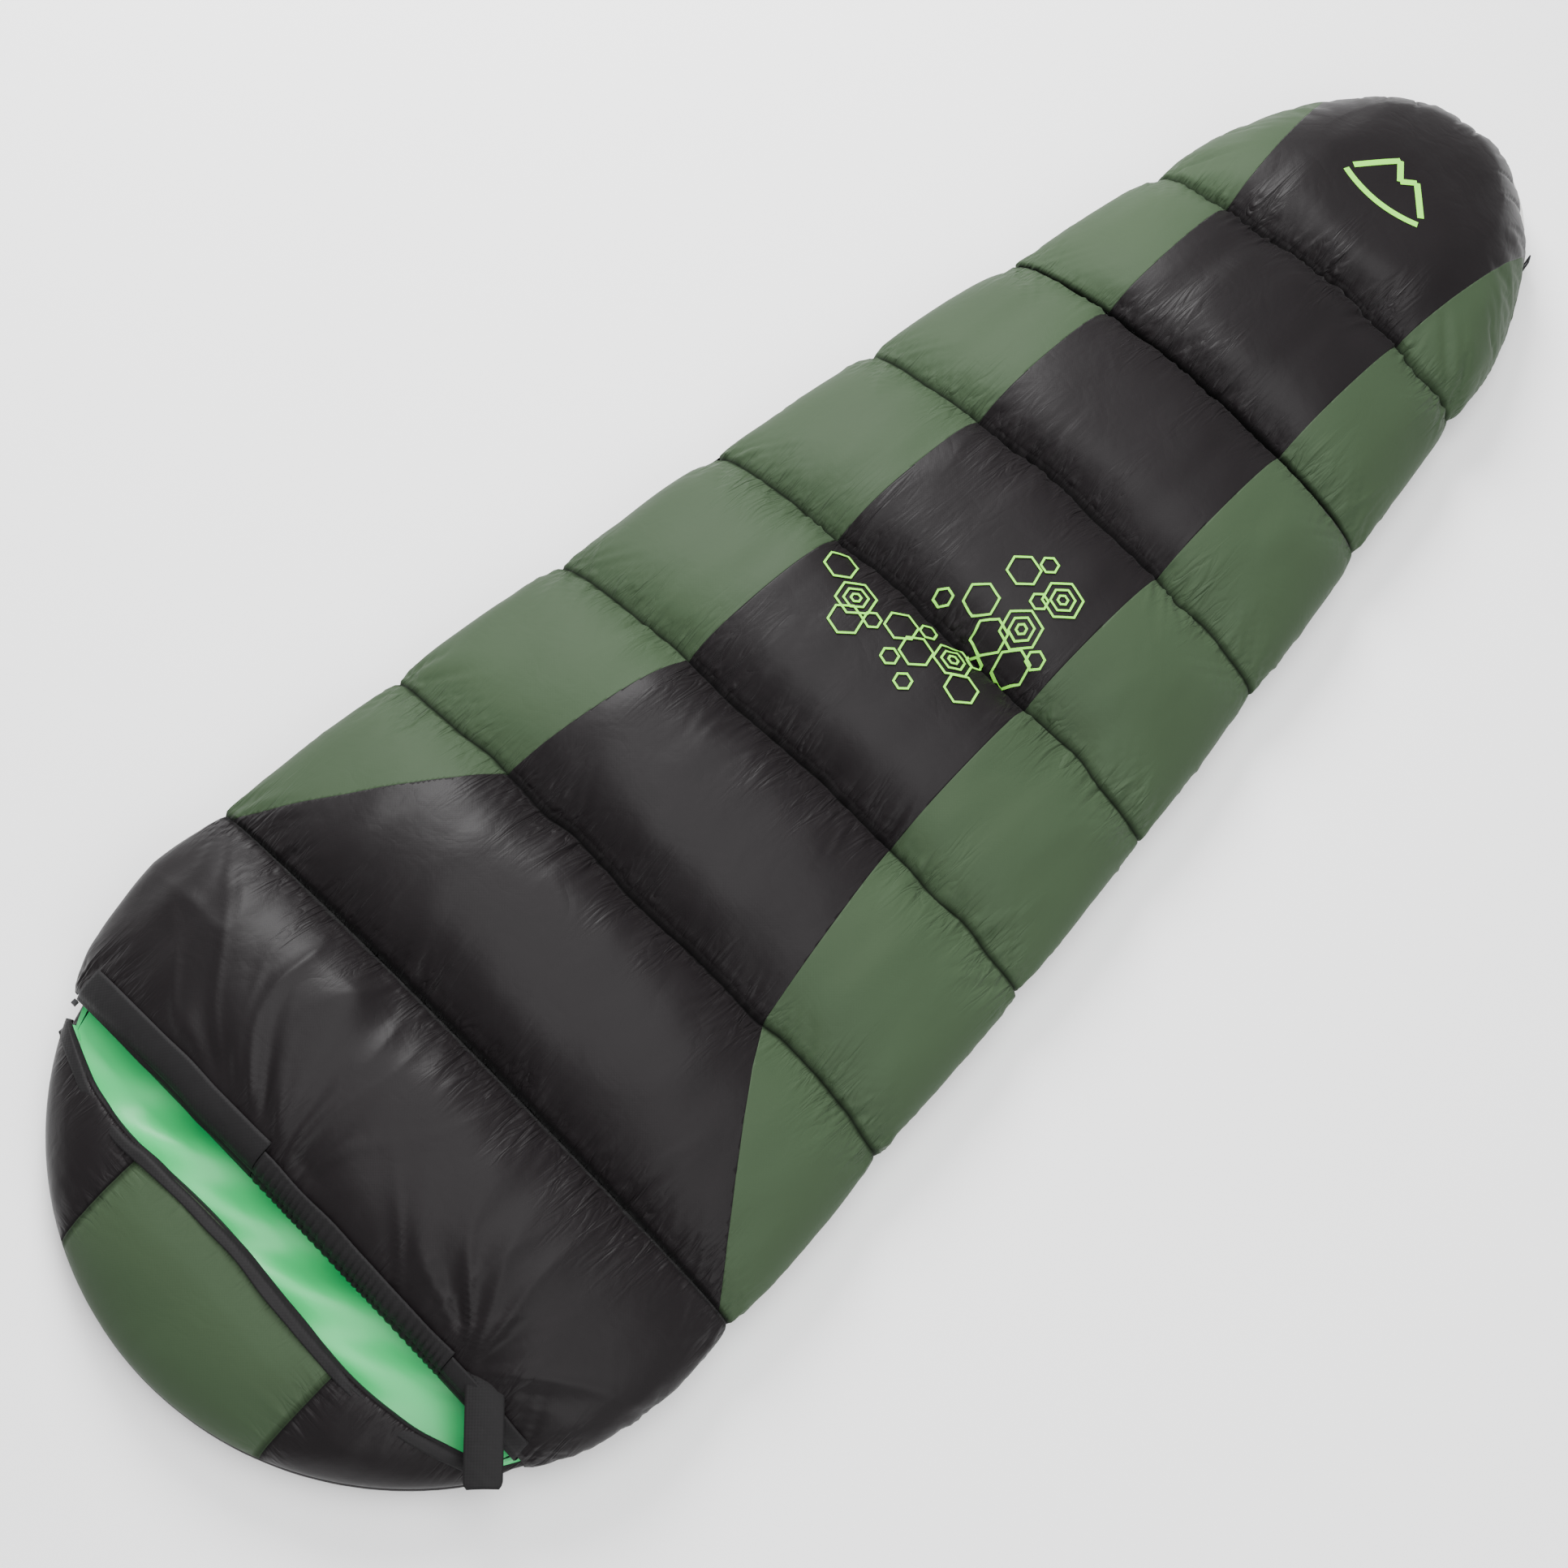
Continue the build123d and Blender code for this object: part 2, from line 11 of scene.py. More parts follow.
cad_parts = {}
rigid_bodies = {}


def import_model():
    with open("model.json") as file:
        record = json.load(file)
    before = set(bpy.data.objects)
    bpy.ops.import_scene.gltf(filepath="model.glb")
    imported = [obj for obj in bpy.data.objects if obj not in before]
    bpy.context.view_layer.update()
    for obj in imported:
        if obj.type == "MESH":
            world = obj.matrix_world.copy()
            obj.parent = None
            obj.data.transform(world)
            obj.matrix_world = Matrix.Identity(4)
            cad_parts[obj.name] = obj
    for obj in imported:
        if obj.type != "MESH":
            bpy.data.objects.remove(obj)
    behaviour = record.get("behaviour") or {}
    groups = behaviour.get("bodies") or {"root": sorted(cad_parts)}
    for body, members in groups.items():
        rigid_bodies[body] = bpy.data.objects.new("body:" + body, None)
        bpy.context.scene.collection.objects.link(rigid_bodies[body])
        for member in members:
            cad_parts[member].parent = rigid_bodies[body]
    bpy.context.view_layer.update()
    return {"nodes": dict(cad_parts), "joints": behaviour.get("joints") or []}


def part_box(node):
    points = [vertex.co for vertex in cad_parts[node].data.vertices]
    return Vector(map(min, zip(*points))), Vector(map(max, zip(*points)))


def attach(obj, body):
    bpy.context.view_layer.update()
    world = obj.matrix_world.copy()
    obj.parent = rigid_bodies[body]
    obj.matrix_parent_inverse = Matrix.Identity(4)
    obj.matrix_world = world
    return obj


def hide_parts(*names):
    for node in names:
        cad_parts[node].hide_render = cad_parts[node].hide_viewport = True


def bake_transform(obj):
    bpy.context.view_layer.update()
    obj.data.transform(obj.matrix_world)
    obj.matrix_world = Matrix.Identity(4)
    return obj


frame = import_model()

bl_info = {
    "name": "Mummy Sleeping Bag",
    "version": (1, 0, 0),
    "blender": (4, 5, 0),
    "location": "View3D > Sidebar > Sleeping Bag",
    "description": "Quilted mummy sleeping bag with a side zip, a fold-open cover and a hood",
    "category": "Add Mesh",
}

JOINTS = {joint["name"]: joint for joint in frame["joints"]}
HEM_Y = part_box("cover_chest_panel")[0].y
HEAD_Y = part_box("bottom_shell")[0].y
TOE_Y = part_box("bottom_shell")[1].y
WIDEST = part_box("bottom_shell")[1].x
ZIP_CENTRE = Vector(JOINTS["zip_travel"]["pos_m"])
ZIP_POINT = Vector(JOINTS["zip_pull_swing"]["pos_m"])
ZIP_END_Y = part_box("zip_bottom_stop")[1].y
HEAD_CENTRE_Y = HEAD_Y + WIDEST

# How the quilts are built, in metres unless it is a share.
SHELL_INSIDE = 0.006        # the widest line of the shell lies this far inside the bag's outline
CHAMBER_BULGE = 0.010       # a full chamber swells sideways by this much
TURN_UNDER = 0.94           # share of the shell's width before it turns in under its widest line
LIP_INSET = 0.008           # how far the shell's edge turns in on the sewn side
LIP_RISE = 0.001            # the top quilt's edge stands this far above the side seam
ZIP_LIP_RISE = 0.0095       # and this far above it along the zip
ZIP_STAND_IN = 0.0063       # from the pull's pivot in to the zip's line
TIGHT_SEAM = 0.045          # the cloth rises steeply this close to a seam
TIGHT_SHARE = 0.24          # share of the rise that this part takes
HALF_QUILT = (0.36, 0.08)   # half width and rise that set the even spacing of the shell's cells
HALF_LINING = (0.34, 0.06)  # the same for the linings
SEAM_WIDTH = 0.005          # a stitched line darkens the cloth this far to each side
TOE_FLARE = 0.101           # the foot's middle panel widens from this far before the toe
WELD = 1e-5                 # points closer than this are one point
FILL_SHARE = 0.22           # a filling's faces lie this share of the space from its middle


# ---- settings ---------------------------------------------------------------------------
class BagSizes(bpy.types.PropertyGroup):
    """Sizes that a maker would change."""

    seam_pitch: FloatProperty(
        name="Seam pitch", description="Distance between the cross seams",
        default=0.240, min=0.1, max=0.4, unit="LENGTH")
    first_seam: FloatProperty(
        name="First seam", description="Place of the cross seam nearest the foot",
        default=0.738, unit="LENGTH")
    foot_half_width: FloatProperty(
        name="Foot half width", description="Half the width at the first cross seam",
        default=0.247, min=0.1, unit="LENGTH")
    waist_bow: FloatProperty(
        name="Side bow", description="How far the side seam bows out of its chord",
        default=0.023, min=0.0, unit="LENGTH")
    seam_height: FloatProperty(
        name="Seam height", description="Height of the top quilt at a cross seam",
        default=0.112, min=0.05, unit="LENGTH")
    loft: FloatProperty(
        name="Loft", description="How far a filled chamber stands above its seams",
        default=0.036, min=0.0, unit="LENGTH")
    side_height: FloatProperty(
        name="Side height", description="Height where the top quilt is widest",
        default=0.052, min=0.02, unit="LENGTH")
    side_seam_height: FloatProperty(
        name="Side seam height", description="Height of the seam between the two quilts",
        default=0.038, min=0.01, unit="LENGTH")
    quilt_thickness: FloatProperty(
        name="Quilt thickness", description="Shell, filling and lining together at a seam",
        default=0.022, min=0.005, unit="LENGTH")
    cloth_thickness: FloatProperty(
        name="Cloth thickness", description="Thickness of the shell and lining cloth",
        default=0.0009, min=0.0002, unit="LENGTH")
    columns: IntProperty(
        name="Columns", description="Mesh cells across the top quilt", default=300, min=20)
    cell: FloatProperty(
        name="Cell", description="Length of a mesh cell along the bag",
        default=0.005, min=0.002, unit="LENGTH")
    gather: FloatProperty(
        name="Gathers", description="Height of the puckers beside a sewn seam",
        default=0.0105, min=0.0, unit="LENGTH")


class BagColours(bpy.types.PropertyGroup):
    """Colours of the cloths."""

    dark: FloatVectorProperty(
        name="Dark shell", description="Middle, chest and hood side panels", subtype="COLOR",
        size=4, min=0, max=1, default=(0.0068, 0.0055, 0.0061, 1))
    green: FloatVectorProperty(
        name="Green shell", description="Side panels and hood middle", subtype="COLOR",
        size=4, min=0, max=1, default=(0.031, 0.051, 0.026, 1))
    lining: FloatVectorProperty(
        name="Lining", description="Cloth inside the bag", subtype="COLOR",
        size=4, min=0, max=1, default=(0.0002, 0.29, 0.060, 1))
    ink: FloatVectorProperty(
        name="Print", description="Printed marks", subtype="COLOR",
        size=4, min=0, max=1, default=(0.22, 0.70, 0.06, 1))
    trim: FloatVectorProperty(
        name="Trim", description="Bindings, webbing and zip tape", subtype="COLOR",
        size=4, min=0, max=1, default=(0.010, 0.0095, 0.010, 1))


def sizes():
    return bpy.context.scene.bag_sizes


def colours():
    return bpy.context.scene.bag_colours


# ---- the bag's plan and sections ---------------------------------------------------------
def bowed_arc(start, end, bow):
    """Centre and radius of the arc from start to end that bows to its left by bow."""
    start, end = Vector(start), Vector(end)
    chord = end - start
    left = Vector((-chord.y, chord.x)).normalized()
    radius = (chord.length_squared / 4 + bow * bow) / (2 * bow)
    return (start + end) / 2 + (bow - radius) * left, radius


def seam_lines():
    """Places of the cross seams from the hem to the foot."""
    s = sizes()
    return [s.first_seam - s.seam_pitch * k for k in range(7)][::-1]


def half_width(y):
    """Half the bag's width at y: side seams, then the round hood end."""
    s = sizes()
    centre, radius = bowed_arc((s.foot_half_width, s.first_seam), (WIDEST, HEAD_CENTRE_Y), s.waist_bow)
    y = np.asarray(y, float)
    side = centre.x + np.sqrt(radius**2 - (np.clip(y, HEAD_CENTRE_Y, s.first_seam) - centre.y) ** 2)
    head = np.sqrt(np.clip(WIDEST**2 - (y - HEAD_CENTRE_Y) ** 2, 0, None))
    return np.where(y < HEAD_CENTRE_Y, head, side)


def zip_x(y):
    """x of the zip's line at y."""
    radius = (ZIP_POINT.xy - ZIP_CENTRE.xy).length - ZIP_STAND_IN
    return ZIP_CENTRE.x - np.sqrt(radius**2 - (np.asarray(y, float) - ZIP_CENTRE.y) ** 2)


def smooth_step(x, low, high):
    t = np.clip((np.asarray(x, float) - low) / (high - low), 0, 1)
    return t * t * (3 - 2 * t)


def arch(reach):
    """A quarter circle from 0 to 1."""
    return np.sqrt(np.clip(1 - (1 - np.clip(reach, 0, 1)) ** 2, 0, None))


def chamber_puff(y):
    """0 at each cross seam and at the hem, 1 in the middle of a chamber."""
    lines = [HEM_Y] + seam_lines()
    y = np.asarray(y, float)
    nearest = np.min([np.abs(y - line) for line in lines], axis=0)
    wide = np.clip(nearest / (sizes().seam_pitch / 2), 0, 1)
    tight = np.clip(nearest / TIGHT_SEAM, 0, 1)
    return (1 - TIGHT_SHARE) * arch(wide) + TIGHT_SHARE * arch(tight)


def lip_inset(y, side):
    """How far the top quilt's edge turns back in, under its widest line."""
    zipped = np.clip(half_width(y) + zip_x(y) - 0.003, LIP_INSET, None)
    share = smooth_step(-np.asarray(y, float), -ZIP_END_Y - 0.02, -ZIP_END_Y + 0.04)
    return np.where(side < 0, LIP_INSET + share * (zipped - LIP_INSET), LIP_INSET)


def section_angles(reach, half, rise):
    """Angle on a half ellipse for each share of its length, so that cells are even."""
    table = np.linspace(0, math.pi / 2, 200)
    step = np.sqrt((half * np.cos(table)) ** 2 + (rise * np.sin(table)) ** 2)
    length = np.concatenate([[0], np.cumsum((step[1:] + step[:-1]) / 2)])
    return np.interp(reach, length / length[-1], table)


def top_surface(u, y, loft_share=1.0):
    """Points of the top quilt's outer surface; u from -1 to 1 across, the last parts turn under."""
    s = sizes()
    side = np.sign(u)
    reach = np.abs(u)
    angle = section_angles(np.clip(reach / TURN_UNDER, 0, 1), *HALF_QUILT)
    under = np.clip((reach - TURN_UNDER) / (1 - TURN_UNDER), 0, 1)
    half = half_width(y)
    puff = chamber_puff(y) * loft_share
    bulge = CHAMBER_BULGE * puff
    rise = s.seam_height - s.side_height + s.loft * puff * (0.55 + 0.45 * np.cos(angle))
    x = (half - SHELL_INSIDE + bulge) * np.sin(angle)
    z = s.side_height + 0.004 * puff + rise * np.cos(angle)
    inset = lip_inset(y, side) + bulge - SHELL_INSIDE
    lip_z = s.side_seam_height + np.where(side < 0, ZIP_LIP_RISE, LIP_RISE)
    z = z - under * (s.side_height + 0.004 * puff - lip_z)
    x = x - inset * (1 - np.cos(under * math.pi / 2))
    return np.stack([side * x, y, z], axis=-1)


def foot_surface(u, t, loft_share=1.0):
    """Points of the foot chamber; u across and t from its seam to the rim, both mapped to a half disc."""
    s = sizes()
    dx = u * np.sqrt(1 - t * t / 2)
    dy = t * np.sqrt(1 - u * u / 2)
    reach = np.sqrt(np.clip(dx * dx + dy * dy, 1e-12, None))
    cx, cy = dx / reach, dy / reach
    reach = np.clip(reach, 0, 1)
    angle = section_angles(np.clip(reach / TURN_UNDER, 0, 1), *HALF_QUILT)
    under = np.clip((reach - TURN_UNDER) / (1 - TURN_UNDER), 0, 1)
    depth = TOE_Y - s.first_seam - 0.003
    grow = np.sin(angle)
    inset = LIP_INSET * (1 - np.cos(under * math.pi / 2))
    from_seam = cy * grow * depth
    wide = (1 - TIGHT_SHARE) * arch(from_seam / 0.13)
    puff = (wide + TIGHT_SHARE * arch(from_seam / TIGHT_SEAM)) * loft_share
    bulge = CHAMBER_BULGE * puff * np.abs(cx)
    x = cx * ((s.foot_half_width - SHELL_INSIDE) * grow + bulge * grow - inset)
    y = s.first_seam + cy * (depth * grow - inset)
    taper = 1 - 0.18 * np.clip(from_seam / depth, 0, 1) ** 2
    rise = (s.seam_height - s.side_height) + s.loft * puff * (0.55 + 0.45 * np.cos(angle))
    z = s.side_height + 0.004 * puff + rise * np.cos(angle) ** 0.85 * taper
    z = z - under * (s.side_height + 0.004 * puff - s.side_seam_height - 0.001)
    return np.stack([x, y, z], axis=-1)


# ---- mesh helpers -------------------------------------------------------------------------
def new_piece(name):
    """A linked object at the origin."""
    piece = bpy.data.objects.new(name, bpy.data.meshes.new(name))
    bpy.context.scene.collection.objects.link(piece)
    return piece


def woven_grid(name, columns, rows, place):
    """A grid whose points place(u, v) puts in the bag's frame, u and v from 0 to 1."""
    bm = bmesh.new()
    bmesh.ops.create_grid(bm, x_segments=columns, y_segments=rows, size=0.5)
    piece = new_piece(name)
    bm.to_mesh(piece.data)
    bm.free()
    flat = points_of(piece)
    u, v = flat[:, 0] + 0.5, flat[:, 1] + 0.5
    put_points(piece, place(u, v))
    return piece


def points_of(piece):
    points = np.empty(len(piece.data.vertices) * 3, np.float32)
    piece.data.vertices.foreach_get("co", points)
    return points.reshape(-1, 3).astype(float)


def put_points(piece, points):
    piece.data.vertices.foreach_set("co", np.asarray(points, np.float32).ravel())
    piece.data.update()


def float_attribute(piece, name, values):
    attribute = piece.data.attributes.get(name) or piece.data.attributes.new(name, "FLOAT", "POINT")
    attribute.data.foreach_set("value", np.asarray(values, np.float32))


def cloth_uv(piece, coordinates):
    """A UV map in metres, from one pair of numbers for each point."""
    layer = piece.data.uv_layers.get("cloth") or piece.data.uv_layers.new(name="cloth")
    index = np.empty(len(piece.data.loops), np.int32)
    piece.data.loops.foreach_get("vertex_index", index)
    layer.data.foreach_set("uv", np.asarray(coordinates, np.float32)[index].ravel())


def shade_smooth(piece):
    piece.data.polygons.foreach_set("use_smooth", [True] * len(piece.data.polygons))


def mend(piece, weld=0.0, cap=False, turn=False, outward=False):
    """Weld a mesh's points, cap its holes, turn its faces over or make them face outwards."""
    bm = bmesh.new()
    bm.from_mesh(piece.data)
    if weld:
        bmesh.ops.remove_doubles(bm, verts=bm.verts[:], dist=weld)
    if cap:
        bmesh.ops.holes_fill(bm, edges=bm.edges[:], sides=0)
    if turn:
        bmesh.ops.reverse_faces(bm, faces=bm.faces[:])
    if outward:
        bmesh.ops.recalc_face_normals(bm, faces=bm.faces[:])
    bm.to_mesh(piece.data)
    bm.free()


def thicken(piece, thickness=None):
    """Give a sheet its cloth thickness, inwards."""
    modifier = piece.modifiers.new("Cloth thickness", "SOLIDIFY")
    modifier.thickness = thickness or sizes().cloth_thickness
    modifier.offset = -1.0
    modifier.use_rim = True


def split_by(piece, names, which):
    """Cut a mesh into new pieces: which gives the number of the piece for each face's centre."""
    count = len(piece.data.polygons)
    centres = np.empty(count * 3, np.float32)
    piece.data.polygons.foreach_get("center", centres)
    numbers = which(centres.reshape(-1, 3))
    parts = {}
    for number, name in enumerate(names):
        bm = bmesh.new()
        bm.from_mesh(piece.data)
        bm.faces.ensure_lookup_table()
        extra = [bm.faces[i] for i in np.nonzero(numbers != number)[0]]
        bmesh.ops.delete(bm, geom=extra, context="FACES")
        part = new_piece(name)
        bm.to_mesh(part.data)
        bm.free()
        shade_smooth(part)
        parts[name] = part
    bpy.data.objects.remove(piece)
    return parts


def surface_tree(pieces):
    """A tree of the outer surface of some sheets, for laying trim on them."""
    bm = bmesh.new()
    for piece in pieces:
        bm.from_mesh(piece.data)
    tree = BVHTree.FromBMesh(bm)
    bm.free()
    return tree


def lay_on(piece, tree, lift):
    """Drop each point of a flat piece straight down onto a surface."""
    points = points_of(piece)
    for i, point in enumerate(points):
        hit, normal, _, _ = tree.ray_cast(Vector((point[0], point[1], 0.4)), Vector((0, 0, -1)))
        if hit is not None:
            points[i] = hit + normal * lift
    put_points(piece, points)


def value_noise(a, b, seed):
    """Smooth repeatable noise from 0 to 1 over two numbers, with a period of 256."""
    table = np.random.RandomState(seed).rand(256, 256)
    a, b = np.broadcast_arrays(np.asarray(a, float), np.asarray(b, float))
    low_a, low_b = np.floor(a).astype(int), np.floor(b).astype(int)
    share_a, share_b = a - low_a, b - low_b
    share_a = share_a * share_a * (3 - 2 * share_a)
    share_b = share_b * share_b * (3 - 2 * share_b)
    corner = [[table[(low_a + i) % 256, (low_b + k) % 256] for k in (0, 1)] for i in (0, 1)]
    near = corner[0][0] * (1 - share_a) + corner[1][0] * share_a
    far = corner[0][1] * (1 - share_a) + corner[1][1] * share_a
    return near * (1 - share_b) + far * share_b


def ridges(a, b, seed):
    """Noise with rounded crests and sharp valleys, from 0 to 1."""
    return 1 - np.abs(2 * value_noise(a, b, seed) - 1) ** 0.8


def puckers(along, away, number, spacing=0.0150, seed=5):
    """Height share of the gathers beside a seam: along it, away from it, and the seam's number."""
    lean = (value_noise(along / 0.11, number, seed) - 0.5) * 1.4
    place = along + lean * away
    wander = 0.35 * value_noise(along / 0.04, away / 0.03, seed + 1)
    crest = ridges(place / spacing + wander, number * 3.7 + away / 0.09, seed + 2)
    crest += 0.5 * ridges(place / (spacing * 0.47) + wander, number * 5.1 + away / 0.05, seed + 3)
    reach = 0.010 + 0.045 * value_noise(along / 0.028, number * 2.3, seed + 4) ** 1.6
    strong = 0.25 + 0.75 * value_noise(along / 0.10, number * 1.9, seed + 5)
    rise = np.clip(away / 0.004, 0, 1)
    return rise * strong * np.exp(-((away / reach) ** 1.5)) * (crest / 1.5 - 0.42)


# ---- cloth --------------------------------------------------------------------------------
def inflate(piece, pins, rest_points, pressure, frames=16, stiffness=12.0, bending=0.05):
    """Blow up a sheet of cloth that is sewn down where pins is 1, and keep the result."""
    group = piece.vertex_groups.new(name="sewn")
    pins = np.asarray(pins)
    for level in np.unique(np.round(pins, 1)):
        if level > 0:
            chosen = np.nonzero(np.abs(pins - level) < 0.05)[0].tolist()
            group.add(chosen, float(level), "REPLACE")
    piece.shape_key_add(name="Basis")
    key = piece.shape_key_add(name="Cut")
    key.data.foreach_set("co", np.asarray(rest_points, np.float32).ravel())
    key.value = 0
    modifier = piece.modifiers.new("Cloth", "CLOTH")
    cloth = modifier.settings
    cloth.quality = 6
    cloth.mass = 0.12
    cloth.air_damping = 3.0
    cloth.tension_stiffness = stiffness
    cloth.compression_stiffness = stiffness
    cloth.shear_stiffness = stiffness / 3
    cloth.bending_stiffness = bending
    cloth.tension_damping = 8
    cloth.compression_damping = 8
    cloth.shear_damping = 8
    cloth.use_pressure = True
    cloth.uniform_pressure_force = pressure
    cloth.vertex_group_mass = "sewn"
    cloth.pin_stiffness = 1.0
    cloth.rest_shape_key = key
    cloth.effector_weights.gravity = 0.0
    modifier.point_cache.frame_start = 1
    modifier.point_cache.frame_end = frames
    scene = bpy.context.scene
    for number in range(1, frames + 1):
        scene.frame_set(number)
    evaluated = piece.evaluated_get(bpy.context.evaluated_depsgraph_get())
    result = np.empty(len(piece.data.vertices) * 3, np.float32)
    evaluated.data.vertices.foreach_get("co", result)
    piece.modifiers.remove(modifier)
    piece.shape_key_clear()
    piece.vertex_groups.clear()
    scene.frame_set(1)
    return result.reshape(-1, 3).astype(float)


def capped(start, end, most):
    """End points, drawn back so that none is further than most from where it started."""
    move = end - start
    length = np.linalg.norm(move, axis=1, keepdims=True)
    return start + move * np.minimum(1, most / np.maximum(length, 1e-9))


# ---- materials ----------------------------------------------------------------------------
def node_group(name, inputs, outputs):
    """A new shader node group with named inputs (name, type, default) and outputs."""
    group = bpy.data.node_groups.new(name, "ShaderNodeTree")
    for label, kind, default in inputs:
        socket = group.interface.new_socket(name=label, in_out="INPUT", socket_type=kind)
        if default is not None:
            socket.default_value = default
    for label, kind in outputs:
        group.interface.new_socket(name=label, in_out="OUTPUT", socket_type=kind)
    return group, group.nodes.new("NodeGroupInput"), group.nodes.new("NodeGroupOutput")


def maths(tree, operation, a, b=None, clamp=False):
    """A math node; a and b are sockets or numbers."""
    node = tree.nodes.new("ShaderNodeMath")
    node.operation = operation
    node.use_clamp = clamp
    for socket, value in zip(node.inputs, (a, b)):
        if value is None:
            continue
        if isinstance(value, bpy.types.NodeSocket):
            tree.links.new(value, socket)
        else:
            socket.default_value = value
    return node.outputs[0]


def weave_group():
    """Over and under threads of a plain weave."""
    found = bpy.data.node_groups.get("plain weave")
    if found:
        return found
    group, entry, leave = node_group(
        "plain weave",
        [("Vector", "NodeSocketVector", None), ("Threads", "NodeSocketFloat", 900.0)],
        [("Height", "NodeSocketFloat")],
    )
    apart = group.nodes.new("ShaderNodeSeparateXYZ")
    group.links.new(entry.outputs["Vector"], apart.inputs[0])
    waves = []
    for axis in ("X", "Y"):
        turned = maths(group, "MULTIPLY", apart.outputs[axis], entry.outputs["Threads"])
        waves.append(maths(group, "SINE", turned))
    both = maths(group, "MULTIPLY", waves[0], waves[1])
    group.links.new(maths(group, "MULTIPLY", both, 0.5), leave.inputs["Height"])
    return group


def crumple_and_sheen_group():
    """Fine crumples of light nylon: two sizes of ridged noise; and broad patches of painted sheen, which
    lighten and darken the colour.
    """
    found = bpy.data.node_groups.get("nylon crumple and painted sheen")
    if found:
        return found
    group, entry, leave = node_group(
        "nylon crumple and painted sheen",
        [("Vector", "NodeSocketVector", None), ("Scale", "NodeSocketFloat", 30.0)],
        [("Height", "NodeSocketFloat"), ("Painted sheen", "NodeSocketFloat")],
    )
    heights = []
    for factor, detail, distort in ((1.0, 3.0, 0.6), (3.1, 2.0, 0.2)):
        field = group.nodes.new("ShaderNodeTexNoise")
        field.inputs["Detail"].default_value = detail
        field.inputs["Distortion"].default_value = distort
        group.links.new(entry.outputs["Vector"], field.inputs["Vector"])
        group.links.new(
            maths(group, "MULTIPLY", entry.outputs["Scale"], factor), field.inputs["Scale"])
        ridge = maths(group, "ABSOLUTE", maths(group, "SUBTRACT", field.outputs[0], 0.5))
        heights.append(maths(group, "DIVIDE", ridge, factor))
    total = maths(group, "ADD", heights[0], heights[1])
    group.links.new(total, leave.inputs["Height"])
    # Broad soft noise of painted sheen: it makes the cloth's colour lighter and darker in large patches.
    sheen_noise = group.nodes.new("ShaderNodeTexNoise")
    sheen_noise.inputs["Scale"].default_value = 4.0
    sheen_noise.inputs["Detail"].default_value = 2.0
    group.links.new(entry.outputs["Vector"], sheen_noise.inputs["Vector"])
    group.links.new(sheen_noise.outputs[0], leave.inputs["Painted sheen"])
    return group


def pucker_group():
    """Short sharp gathers that run away from a seam: across the bag and at its sides."""
    found = bpy.data.node_groups.get("seam gathers")
    if found:
        return found
    group, entry, leave = node_group(
        "seam gathers",
        [("Vector", "NodeSocketVector", None), ("Cross", "NodeSocketFloat", 0.0),
         ("Side", "NodeSocketFloat", 0.0)],
        [("Height", "NodeSocketFloat")],
    )
    parts = []
    for label, stretch in (("Cross", (88.0, 13.0, 20.0)), ("Side", (15.0, 80.0, 40.0))):
        scaled = group.nodes.new("ShaderNodeVectorMath")
        scaled.operation = "MULTIPLY"
        scaled.inputs[1].default_value = stretch
        group.links.new(entry.outputs["Vector"], scaled.inputs[0])
        field = group.nodes.new("ShaderNodeTexNoise")
        field.inputs["Scale"].default_value = 1.0
        field.inputs["Detail"].default_value = 2.5
        field.inputs["Distortion"].default_value = 0.7
        group.links.new(scaled.outputs[0], field.inputs["Vector"])
        ridge = maths(group, "ABSOLUTE", maths(group, "SUBTRACT", field.outputs[0], 0.5))
        parts.append(maths(group, "MULTIPLY", maths(group, "MULTIPLY", ridge, 3.0),
                           entry.outputs[label]))
    group.links.new(maths(group, "ADD", parts[0], parts[1]), leave.inputs["Height"])
    return group


